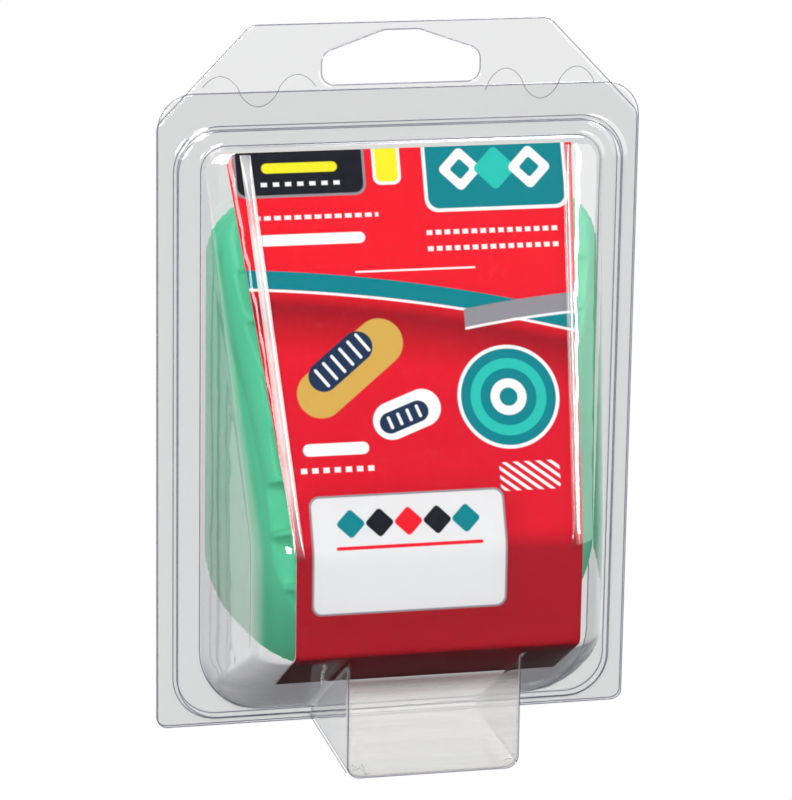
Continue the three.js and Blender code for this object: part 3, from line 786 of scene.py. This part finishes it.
SHEET_IOR = 1.57
SHEET_ROUGHNESS = 0.06
RIDGE_IOR = 1.9
RIDGE_ROUGHNESS = 0.16
RIDGE_FADE = (BAND_TOP - 1, BAND_TOP + 12)  # where its painted highlight fades out downward, mm
LINE_ROUGHNESS = 0.12
LINE_SHINE = 0.12
SHEET_TINT = (0.905, 0.907, 0.91)
SHEET_EDGE_TINT = (0.24, 0.24, 0.29)
# painted shade: the grey of the sheet's lines at its bends and edges
LINE_TINT = (0.72, 0.72, 0.78)
CREASE_TINT = (0.9, 0.9, 0.9)
FILM = (0.9, 0.895, 0.88)
WALL_SHADE_TINT = (0.33, 0.34, 0.35)
# painted reflection of the dark flap above, laid on the foot's front
FOOT_FLAP_REFLECTION = (0.21, 0.14, 0.145)
FOOT_FILM = (0.56, 0.55, 0.53)
RUBBER = ((0.071, 0.52, 0.285), (0.087, 0.575, 0.32))
BOARD = ((0.62, 0.56, 0.46), (0.76, 0.71, 0.61))
CUT = ((0.10, 0.10, 0.11), (0.22, 0.22, 0.24))
FLOOR = ((0.80, 0.80, 0.80), (0.84, 0.84, 0.84))
RED = (0.78, 0.008, 0.022)
MID_RED = (0.66, 0.005, 0.022)
SHADED_BAND_RED = (0.38, 0.004, 0.014)
DARK_RED = (0.27, 0.003, 0.010)
SHADED_FLAP_RED = (0.17, 0.004, 0.010)
TEAL = (0.0, 0.21, 0.245)
PALE_TEAL = (0.02, 0.50, 0.42)
WHITE = (0.88, 0.88, 0.88)
PANEL_WHITE = (0.72, 0.725, 0.73)
GREY = (0.26, 0.26, 0.28)
INK = (0.008, 0.009, 0.016)
OCHRE = (0.60, 0.38, 0.08)
YELLOW = (0.80, 0.75, 0.02)
NAVY = (0.01, 0.03, 0.08)
DIAMONDS = ((-16.8, TEAL), (-11.1, INK), (-5.4, RED), (0.3, INK), (6.0, TEAL))
SOFT_EDGE = 0.00012  # how wide a printed edge blends, m

# Where the foot's front is milky with a painted reflection, where it holds a painted reflection of the dark
# flap above, and where the bubble's walls take painted shade and a painted hazy reflection: from, to, mm
FOOT_SIDE = (FOOT_WIDTH / 2 + 0.3, FOOT_WIDTH / 2 + 0.1)
FOOT_FRONT = (-15, -17)
MILKY_AND_SHEEN = (21, 13)
FLAP_REFLECTION_LOW = (14, 19.5)
FLAP_REFLECTION_HIGH = (21.8, 20)
WALL_SHADE_AND_SHEEN = (95, 35)
WALL_FACING = (0.86, 0.92)  # the share of the normal that points sideways


class Nodes:
    """Short calls for the node tree of a material, or of a world."""

    def __init__(self, name, is_world=False):
        self.owner = (bpy.data.worlds if is_world else bpy.data.materials).new(name)
        self.owner.use_nodes = True
        self.tree = self.owner.node_tree
        self.tree.nodes.clear()
        self.output = self.add("ShaderNodeOutputWorld" if is_world else "ShaderNodeOutputMaterial")

    def add(self, kind, inputs=None, **settings):
        node = self.tree.nodes.new(kind)
        for key, value in settings.items():
            setattr(node, key, value)
        for key, value in (inputs or {}).items():
            self.put(node.inputs[key], value)
        return node

    def put(self, socket, value):
        if isinstance(value, bpy.types.NodeSocket):
            self.tree.links.new(value, socket)
        elif isinstance(value, bpy.types.Node):
            self.tree.links.new(value.outputs[0], socket)
        else:
            socket.default_value = value

    def math(self, operation, a, b=0.0):
        return self.add("ShaderNodeMath", {0: a, 1: b}, operation=operation).outputs[0]

    def times(self, a, b):
        return self.math("MULTIPLY", a, b)

    def minus(self, a, b):
        return self.math("SUBTRACT", a, b)

    def mix(self, share, a, b):
        node = self.add("ShaderNodeMix", data_type="RGBA")
        self.put(node.inputs[0], share)
        for socket, value in ((node.inputs[6], a), (node.inputs[7], b)):
            self.put(socket, (*value, 1) if isinstance(value, tuple) and len(value) == 3 else value)
        return node.outputs[2]

    def place(self):
        return self.add("ShaderNodeTexCoord").outputs["Object"]

    def noise(self, scale, detail=2.0, vector=None):
        node = self.add("ShaderNodeTexNoise", {"Scale": scale, "Detail": detail})
        if vector is not None:
            self.put(node.inputs["Vector"], vector)
        return node.outputs["Fac"]

    def bump(self, strength, distance, height):
        return self.add("ShaderNodeBump", {
            "Strength": strength, "Distance": distance, "Height": height}).outputs[0]

    def ramp(self, value, low, high, to_low=0.0, to_high=1.0, kind="LINEAR"):
        ends = {"Value": value, "From Min": low, "From Max": high, "To Min": to_low, "To Max": to_high}
        return self.add("ShaderNodeMapRange", ends, interpolation_type=kind).outputs[0]

    def ramp_mm(self, value, ends, to_low=0.0, to_high=1.0):
        return self.ramp(value, ends[0] * MM, ends[1] * MM, to_low, to_high)

    def fresnel(self, ior, normal):
        """The same mirror from both faces of a single-surface sheet."""
        is_back = self.add("ShaderNodeNewGeometry").outputs["Backfacing"]
        both_ways = self.ramp(is_back, 0.0, 1.0, ior, 1 / ior)
        return self.add("ShaderNodeFresnel", {"IOR": both_ways, "Normal": normal}).outputs[0]

    def mirror(self, roughness, normal=None):
        node = self.add("ShaderNodeBsdfAnisotropic", {"Color": (1, 1, 1, 1), "Roughness": roughness})
        if normal is not None:
            self.put(node.inputs["Normal"], normal)
        return node

    def blend(self, share, a, b):
        return self.add("ShaderNodeMixShader", {0: share, 1: a, 2: b}).outputs[0]

    def finish(self, shader):
        self.put(self.output.inputs["Surface"], shader)
        return self.owner


def clear_plastic(name, has_foot=False):
    """Thin clear sheet: light goes straight through, with a mirror on top that grows at a glancing look."""
    n = Nodes(name)
    place = n.place()
    bump = n.bump(strength=0.16, distance=0.002, height=n.noise(38.0, 3.0, place))
    facing = n.add("ShaderNodeLayerWeight", {"Blend": 0.5}).outputs["Facing"]
    tint = n.mix(n.math("POWER", facing, 3.0), SHEET_TINT, SHEET_EDGE_TINT)
    haze = n.ramp(n.noise(900.0, 2.0, place), 0.5, 0.8, to_low=0.003, to_high=0.012)
    film_colour = (*FILM, 1)
    if has_foot:
        x, y, z = n.add("ShaderNodeSeparateXYZ", {0: place}).outputs
        foot = n.times(n.ramp_mm(n.math("ABSOLUTE", x), FOOT_SIDE), n.ramp_mm(y, FOOT_FRONT))
        # partly the drawn sheet's milky haze, partly a painted reflection, in horizontal streaks
        milky_and_sheen = n.times(foot, n.ramp_mm(z, MILKY_AND_SHEEN))
        # painted reflection of the dark flap above: a dark reddish band across the foot's front
        flap_reflection = n.times(foot, n.ramp_mm(z, FLAP_REFLECTION_LOW))
        flap_reflection = n.times(flap_reflection, n.ramp_mm(z, FLAP_REFLECTION_HIGH))
        streaks = n.add("ShaderNodeMapping", {"Vector": place, "Scale": (30.0, 30.0, 420.0)}).outputs[0]
        streaky_haze_and_sheen = n.ramp(n.noise(1.0, 4.0, streaks), 0.3, 0.7, to_low=0.38, to_high=0.60)
        normal = n.add("ShaderNodeSeparateXYZ", {0: n.add("ShaderNodeTexCoord").outputs["Normal"]})
        wall = n.ramp(n.math("ABSOLUTE", normal.outputs[0]), *WALL_FACING)
        # painted shade: the side walls turn greyer toward the bottom
        tint = n.mix(n.times(wall, n.ramp_mm(z, WALL_SHADE_AND_SHEEN, to_high=0.36)), tint, WALL_SHADE_TINT)
        tint = n.mix(n.times(flap_reflection, 0.95), tint, FOOT_FLAP_REFLECTION)
        film_colour = n.mix(milky_and_sheen, FILM, FOOT_FILM)
        # painted hazy reflection on the side walls, stronger toward the bottom
        wall = n.times(wall, n.ramp_mm(z, WALL_SHADE_AND_SHEEN, to_low=0.01, to_high=0.07))
        haze = n.math("MAXIMUM", n.math("ADD", haze, wall), n.times(milky_and_sheen, streaky_haze_and_sheen))
    through = n.add("ShaderNodeBsdfTransparent", {"Color": tint})
    fresnel = n.fresnel(SHEET_IOR, bump)
    both_faces = n.minus(n.times(fresnel, 2.0), n.times(fresnel, fresnel))
    film = n.add("ShaderNodeBsdfDiffuse", {"Color": film_colour})
    return n.finish(n.blend(haze, n.blend(both_faces, through, n.mirror(SHEET_ROUGHNESS, bump)), film))


def sheet_line(name, tint, whiteness):
    """The thin line that a bend or a cut edge of the sheet shows; its grey tint is painted shade for the dark
    line that a tight bend gives clear sheet.
    """
    n = Nodes(name)
    shade = n.mix(n.noise(160.0, 2.0, n.place()), tint, tuple(v * 0.82 for v in tint))
    through = n.add("ShaderNodeBsdfTransparent", {"Color": shade})
    film = n.add("ShaderNodeBsdfDiffuse", {"Color": (0.9, 0.9, 0.9, 1)})
    return n.finish(n.blend(whiteness, n.blend(LINE_SHINE, through, n.mirror(LINE_ROUGHNESS)), film))


def bright_ridge(name, least_highlight, most_highlight):
    """Sheet stretched over a sharp bend, with a strong shine; above the band a little white film on it is a
    painted highlight.
    """
    n = Nodes(name)
    place = n.place()
    bump = n.bump(strength=0.2, distance=0.001, height=n.noise(120.0, 2.0, place))
    through = n.add("ShaderNodeBsdfTransparent", {"Color": (0.97, 0.97, 0.97, 1)})
    shine = n.math("MINIMUM", n.times(n.fresnel(RIDGE_IOR, bump), 2.0), 1.0)
    film = n.add("ShaderNodeBsdfDiffuse", {"Color": (*FILM, 1)})
    # painted highlight: a pale band across the ridge's width
    painted_highlight = n.ramp(n.noise(90.0, 3.0, place), 0.3, 0.7, least_highlight, most_highlight)
    height = n.add("ShaderNodeSeparateXYZ", {0: place}).outputs[2]
    painted_highlight = n.times(painted_highlight, n.ramp_mm(height, RIDGE_FADE))
    return n.finish(n.blend(painted_highlight, n.blend(shine, through, n.mirror(RIDGE_ROUGHNESS, bump)), film))


def green_rubber(name):
    n = Nodes(name)
    place = n.place()
    rubber = n.add("ShaderNodeBsdfPrincipled", {
        "Base Color": n.mix(n.ramp(n.noise(60.0, 4.0, place), 0.35, 0.65), *RUBBER), "Roughness": 0.48,
        "Normal": n.bump(strength=0.25, distance=0.0002, height=n.noise(2600.0, 2.0, place))})
    rubber.inputs["Specular IOR Level"].default_value = 0.4
    rubber.inputs["Subsurface Weight"].default_value = 0.12
    rubber.inputs["Subsurface Radius"].default_value = (0.2, 1.0, 0.5)
    rubber.inputs["Subsurface Scale"].default_value = 0.002
    return n.finish(rubber.outputs[0])


def card_print(name):
    """Red print with a generic layout of panels, bars, rings and bands, placed in mm by x and s down it; its
    red turns darker down the sloped face, and darker still as painted shade on the upright band and the
    turned-under flap.
    """
    n = Nodes(name)
    spot = n.add("ShaderNodeSeparateXYZ", {0: n.add("ShaderNodeUVMap", uv_map="print").outputs[0]})
    x, s = spot.outputs[0], spot.outputs[1]

    def inside(distance):
        return n.ramp(distance, SOFT_EDGE, -SOFT_EDGE)

    def turned(cx, cs, angle):
        dx, ds = n.minus(x, cx * MM), n.minus(s, cs * MM)
        if not angle:
            return dx, ds
        cosine, sine = math.cos(math.radians(angle)), math.sin(math.radians(angle))
        u = n.math("ADD", n.times(dx, cosine), n.times(ds, sine))
        v = n.minus(n.times(ds, cosine), n.times(dx, sine))
        return u, v

    def box(cx, cs, width, height, radius, angle=0):
        u, v = turned(cx, cs, angle)
        du = n.math("ADD", n.math("ABSOLUTE", u), (radius - width / 2) * MM)
        dv = n.math("ADD", n.math("ABSOLUTE", v), (radius - height / 2) * MM)
        far_u, far_v = n.math("MAXIMUM", du, 0.0), n.math("MAXIMUM", dv, 0.0)
        square = n.math("ADD", n.times(far_u, far_u), n.times(far_v, far_v))
        near = n.math("MINIMUM", n.math("MAXIMUM", du, dv), 0.0)
        return n.minus(n.math("ADD", n.math("SQRT", square), near), radius * MM)

    def disc(cx, cs):
        u, v = turned(cx, cs, 0)
        return n.math("SQRT", n.math("ADD", n.times(u, u), n.times(v, v)))

    def bow(start, slope, bend):
        """Signed distance down from a bowed line across the card."""
        line = n.math("ADD", n.times(x, slope), start * MM)
        line = n.math("ADD", line, n.times(n.times(x, x), bend / MM))
        return n.minus(s, line)

    def band(distance, top, bottom):
        middle, half = (top + bottom) / 2 * MM, (bottom - top) / 2 * MM
        return inside(n.minus(n.math("ABSOLUTE", n.minus(distance, middle)), half))

    def dashes(cx, cs, width, pitch, length, height):
        """A row of short bars."""
        u, v = turned(cx, cs, 0)
        step = n.minus(n.math("PINGPONG", u, pitch / 2 * MM), length / 2 * MM)
        row = n.math("MAXIMUM", step, n.minus(n.math("ABSOLUTE", v), height / 2 * MM))
        return n.math("MAXIMUM", row, n.minus(n.math("ABSOLUTE", u), width / 2 * MM))

    colour = n.mix(n.ramp(s, 24 * MM, 50 * MM), RED, MID_RED)
    # painted shade: a darker red for the upright band, and darkest for the flap that faces down
    colour = n.mix(n.ramp(s, 76 * MM, 80 * MM), colour, SHADED_BAND_RED)
    colour = n.mix(n.ramp(s, 99.6 * MM, 101.6 * MM), colour, SHADED_FLAP_RED)
    lower = bow(30.5, 0.17, 0.0016)
    shadow = n.times(n.ramp(lower, 0.0, 3 * MM), n.ramp(lower, 13 * MM, 4 * MM))
    colour = n.mix(n.times(shadow, 0.85), colour, DARK_RED)
    colour = n.mix(band(lower, -3.6, 0.0), colour, TEAL)
    colour = n.mix(band(lower, 0.0, 0.5), colour, WHITE)
    fold = bow(36.0, -0.20, 0.0022)
    right_half = inside(n.minus(9 * MM, x))
    colour = n.mix(n.times(band(fold, -2.0, 1.6), right_half), colour, GREY)
    colour = n.mix(n.times(band(fold, 1.6, 2.1), right_half), colour, WHITE)

    # box: middle x and s, width, height, corner's radius, turn. dashes: middle, width, pitch, length, height
    shapes = [
        (box(17.5, 4.5, 29, 17, 2.6), WHITE), (box(17.5, 4.5, 27.6, 15.6, 2.2), TEAL),
        (box(-21.5, 3.5, 26, 11, 2.2), GREY), (box(-21.5, 3.5, 25, 10, 1.8), INK),
        (box(-4.2, 2.2, 5.6, 10, 1.6), WHITE), (box(-4.2, 2.2, 4.4, 8.8, 1.2), YELLOW),
        (box(10.5, 4.6, 6.4, 6.4, 1.0, 45), WHITE), (box(17.5, 4.6, 6.4, 6.4, 1.0, 45), PALE_TEAL),
        (box(24.5, 4.6, 6.4, 6.4, 1.0, 45), WHITE), (box(10.5, 4.6, 3.0, 3.0, 0.5, 45), TEAL),
        (box(24.5, 4.6, 3.0, 3.0, 0.5, 45), TEAL), (box(-21.5, 3.2, 15, 2.0, 1.0), YELLOW),
        (dashes(-21.5, 6.4, 17, 2.4, 1.2, 0.8), WHITE), (dashes(-18.5, 13.0, 24, 2.0, 1.3, 0.8), WHITE),
        (box(-20.0, 17.4, 21, 2.2, 1.1), WHITE), (dashes(16.0, 17.0, 27, 1.8, 1.1, 0.9), WHITE),
        (dashes(16.0, 20.2, 27, 1.8, 1.1, 0.9), WHITE), (box(0.0, 24.2, 24, 0.35, 0.15), WHITE),
        (box(-14.5, 43.0, 25, 9.4, 4.7, -38), OCHRE), (box(-16.3, 41.6, 15, 6.0, 3.0, -38), NAVY),
        (box(-4.0, 52.5, 14, 7.4, 3.7, -20), WHITE), (box(-4.6, 53.0, 10.2, 4.2, 2.1, -20), NAVY),
        (box(-18.5, 58.6, 13, 2.4, 1.2), WHITE), (dashes(-18.5, 62.6, 16, 2.2, 1.2, 1.0), WHITE),
    ]
    for distance, ink in shapes:
        colour = n.mix(inside(distance), colour, ink)
    for k in range(6):
        colour = n.mix(inside(box(-20.2 + 1.7 * k, 44.7 - 1.33 * k, 0.6, 4.4, 0.3, -38)), colour, WHITE)
    for k in range(4):
        colour = n.mix(inside(box(-7.4 + 1.9 * k, 54.0 - 0.69 * k, 0.6, 2.6, 0.3, -20)), colour, WHITE)
    centre = disc(16.5, 50.0)
    for radius, ink in ((10.2, WHITE), (9.5, TEAL), (7.6, PALE_TEAL), (5.6, TEAL), (3.6, WHITE), (1.8, TEAL)):
        colour = n.mix(inside(n.minus(centre, radius * MM)), colour, ink)
    _, v = turned(0, 0, 38)
    stripes = n.minus(n.math("PINGPONG", v, 0.7 * MM), 0.3 * MM)
    colour = n.mix(n.times(inside(box(19.5, 65.6, 12, 5.6, 1.0)), inside(stripes)), colour, WHITE)

    shade = n.ramp(box(-5.0, 79.4, 39, 23, 4), -1 * MM, 4.5 * MM, 1.0, 0.0)
    colour = n.mix(n.times(shade, 0.3), colour, DARK_RED)
    panel = [
        (box(-5.4, 79.4, 38.6, 23.6, 2.0), GREY), (box(-5.4, 79.4, 37.8, 22.8, 1.7), PANEL_WHITE),
        *((box(at, 73.2, 4.2, 4.2, 0.7, 45), ink) for at, ink in DIAMONDS),
        (box(-5.4, 77.9, 29, 0.7, 0.3), RED),
    ]
    for distance, ink in panel:
        colour = n.mix(inside(distance), colour, ink)
    # two thin darker lines across the band
    for dark_line_at in (92.6, 94.4):
        colour = n.mix(n.times(band(s, dark_line_at, dark_line_at + 0.3), 0.35), colour, DARK_RED)

    speckle = n.ramp(n.noise(5200.0, 1.0), 0.35, 0.65, 0.94, 1.05)
    tinted = n.add("ShaderNodeVectorMath", {0: colour, 1: speckle}, operation="MULTIPLY")
    card = n.add("ShaderNodeBsdfPrincipled", {"Base Color": tinted.outputs[0], "Roughness": 0.22})
    card.inputs["Specular IOR Level"].default_value = 0.15
    n.put(card.inputs["Normal"], n.bump(strength=0.08, distance=0.0003, height=n.noise(700.0, 3.0)))
    return n.finish(card.outputs[0])


def shaded_flap(name):
    """The turned-under flap's red, dark as painted shade because it faces down, and matt."""
    n = Nodes(name)
    shade = n.mix(n.noise(300.0, 2.0, n.place()), SHADED_FLAP_RED, tuple(v * 0.8 for v in SHADED_FLAP_RED))
    ink = n.add("ShaderNodeBsdfPrincipled", {"Base Color": shade, "Roughness": 0.7})
    ink.inputs["Specular IOR Level"].default_value = 0.04
    return n.finish(ink.outputs[0])


def card_board(name):
    """The card's unprinted back and its cut edges."""
    n = Nodes(name)
    place = n.place()
    board = n.add("ShaderNodeBsdfPrincipled", {
        "Base Color": n.mix(n.noise(900.0, 3.0, place), *BOARD), "Roughness": 0.75,
        "Normal": n.bump(strength=0.3, distance=0.0002, height=n.noise(2400.0, 3.0, place))})
    return n.finish(board.outputs[0])


def cut_line(name):
    n = Nodes(name)
    shade = n.mix(n.noise(400.0, 2.0, n.place()), *CUT)
    line = n.add("ShaderNodeBsdfPrincipled", {"Base Color": shade, "Roughness": 0.5})
    return n.finish(line.outputs[0])


# Pieces

def dress(obj, material, body, slot, *nodes):
    obj.data.materials.clear()
    obj.data.materials.append(material)
    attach(obj, body)
    if nodes:
        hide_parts(*nodes)
    return obj


dress(front_sheet(), clear_plastic("clear_front", has_foot=True), "pack", "clear_plastic", "front_shell")
dress(rear_sheet(), clear_plastic("clear_rear"), "lid", "clear_plastic", "rear_shell")
sheet_edge = sheet_line("sheet_line", LINE_TINT, whiteness=0.02)
dress(tubes("front_edges", front_lines(), LINE_RADIUS), sheet_edge, "pack", "clear_plastic")
dress(tubes("foot_edges", foot_lines(), LINE_RADIUS), sheet_edge, "pack", "clear_plastic")
# the foot's creases: their white film is a painted highlight on the crinkles
dress(tubes("foot_creases", foot_creases(), CREASE_RADIUS),
      sheet_line("crease", CREASE_TINT, whiteness=0.16), "pack", "clear_plastic")
dress(tubes("rear_edges", rear_lines(), LINE_RADIUS), sheet_edge, "lid", "clear_plastic")
dress(ridge("ridge_left", side=-1, width=2.1, height=0.5),
      bright_ridge("left_ridge", least_highlight=0.22, most_highlight=0.48), "pack", "clear_plastic")
dress(ridge("ridge_right", side=1, width=1.4, height=0.35),
      bright_ridge("right_ridge", least_highlight=0.08, most_highlight=0.22), "pack", "clear_plastic")
cuts = [(ring_at(die_cut(*cut), SEAM - DIE_CUT_RADIUS), False) for cut in DIE_CUTS]
dress(tubes("die_cuts", cuts, DIE_CUT_RADIUS), cut_line("cut_line"), "lid", "clear_plastic")

card = dress(card_strip(), card_print("card_print"), "pack", "printed_card", "card")
card.data.materials.append(card_board("card_board"))
card.data.materials.append(shaded_flap("shaded_flap"))
for face in card.data.polygons:
    is_side = abs(face.normal.x) > 0.5
    is_end = face.normal.z > 0.6 and face.normal.y > -0.5
    is_back = face.normal.y > 0.1
    faces_down = face.normal.z < -0.8
    face.material_index = 1 if is_side or is_end or is_back else 2 if faces_down else 0

cup = heel_cup()
rubber = green_rubber("green_rubber")
for cup_name, node, is_inner in (
        ("cup_outer", "heel_cup_outer", False), ("cup_inner", "heel_cup_inner", True)):
    piece = bpy.data.objects.new(cup_name, cup.data.copy())
    bpy.context.scene.collection.objects.link(piece)
    dress(spread(settle(piece, nest_matrix(is_inner))), rubber, "pack", "green_rubber", node)
bpy.data.objects.remove(cup)


# Floor, world, lights and camera

FLOOR_REACH = 2
FLOOR_TOP = -0.0004
LIGHTS = [  # name, place, width, height, power
    ("key", (-0.35, -0.62, 0.95), 0.5, 0.5, 9.4),
    ("front", (-0.48, -0.95, 0.31), 0.25, 0.25, 4.4),
    ("back_key", (0.45, 0.80, 0.85), 0.4, 0.4, 7.0),
    ("left_fill", (-0.56, -0.30, 0.71), 0.25, 0.25, 1.2),
    ("right_fill", (1.05, -0.75, 0.45), 1.2, 1.2, 7.2),
    ("left_strip", (-0.20, -1.0, 0.70), 0.07, 0.5, 0.6),
    ("right_strip", (0.66, -0.82, 0.62), 0.08, 0.5, 3.0),
]
LIT_POINT = Vector((0, 0, 0.07))
CAMERA_PLACE = (-0.1873, -0.7649, 0.2880)
CAMERA_RIGHT = Vector((0.9734, -0.2284, 0.0152))
CAMERA_UP = Vector((0.0465, 0.2620, 0.9640))
CAMERA_LENS = 188.4
CAMERA_SENSOR = 36
CAMERA_NEAR = 0.01


def make_floor():
    corners = [(x * FLOOR_REACH, y * FLOOR_REACH, FLOOR_TOP) for x, y in ((-1, -1), (1, -1), (1, 1), (-1, 1))]
    floor = new_object("floor", corners, [(0, 1, 2, 3)])
    n = Nodes("floor")
    pale = n.add("ShaderNodeBsdfDiffuse", {"Color": n.mix(n.noise(3.0), *FLOOR)})
    floor.data.materials.append(n.finish(pale.outputs[0]))
    floor.visible_camera = False
    floor.visible_glossy = False


def studio_world(name):
    """White behind the object, dark in front of and below it, and plain white where the camera looks."""
    n = Nodes(name, is_world=True)
    way = n.add("ShaderNodeSeparateXYZ", {0: n.add("ShaderNodeTexCoord").outputs["Generated"]})
    behind = n.ramp(way.outputs[1], low=-0.1, high=0.45, to_low=0.04, kind="SMOOTHSTEP")
    above = n.ramp(way.outputs[2], low=-0.68, high=-0.28, to_low=0.02, kind="SMOOTHSTEP")
    is_camera = n.add("ShaderNodeLightPath").outputs["Is Camera Ray"]
    level = n.math("MAXIMUM", is_camera, n.times(behind, above))
    glow = n.add("ShaderNodeBackground", {"Color": (1, 1, 1, 1), "Strength": level})
    return n.finish(glow.outputs[0])


def softbox(name, place, width, height, power):
    light = bpy.data.lights.new(name, "AREA")
    light.shape = "RECTANGLE"
    light.size = width
    light.size_y = height
    light.energy = power
    obj = bpy.data.objects.new(name, light)
    bpy.context.scene.collection.objects.link(obj)
    obj.location = place
    obj.rotation_euler = (LIT_POINT - Vector(place)).to_track_quat("-Z", "Y").to_euler()


def make_camera():
    data = bpy.data.cameras.new("camera")
    data.lens = CAMERA_LENS
    data.sensor_width = CAMERA_SENSOR
    data.clip_start = CAMERA_NEAR
    obj = bpy.data.objects.new("camera", data)
    bpy.context.scene.collection.objects.link(obj)
    back = CAMERA_RIGHT.cross(CAMERA_UP).normalized()
    right = CAMERA_UP.cross(back).normalized()
    turn = Matrix((right, CAMERA_UP, back)).transposed().to_4x4()
    obj.matrix_world = Matrix.Translation(CAMERA_PLACE) @ turn
    return obj


make_floor()
bpy.context.scene.world = studio_world("studio")
for box in LIGHTS:
    softbox(*box)
bpy.context.scene.camera = make_camera()
bpy.context.scene.view_settings.view_transform = "Standard"
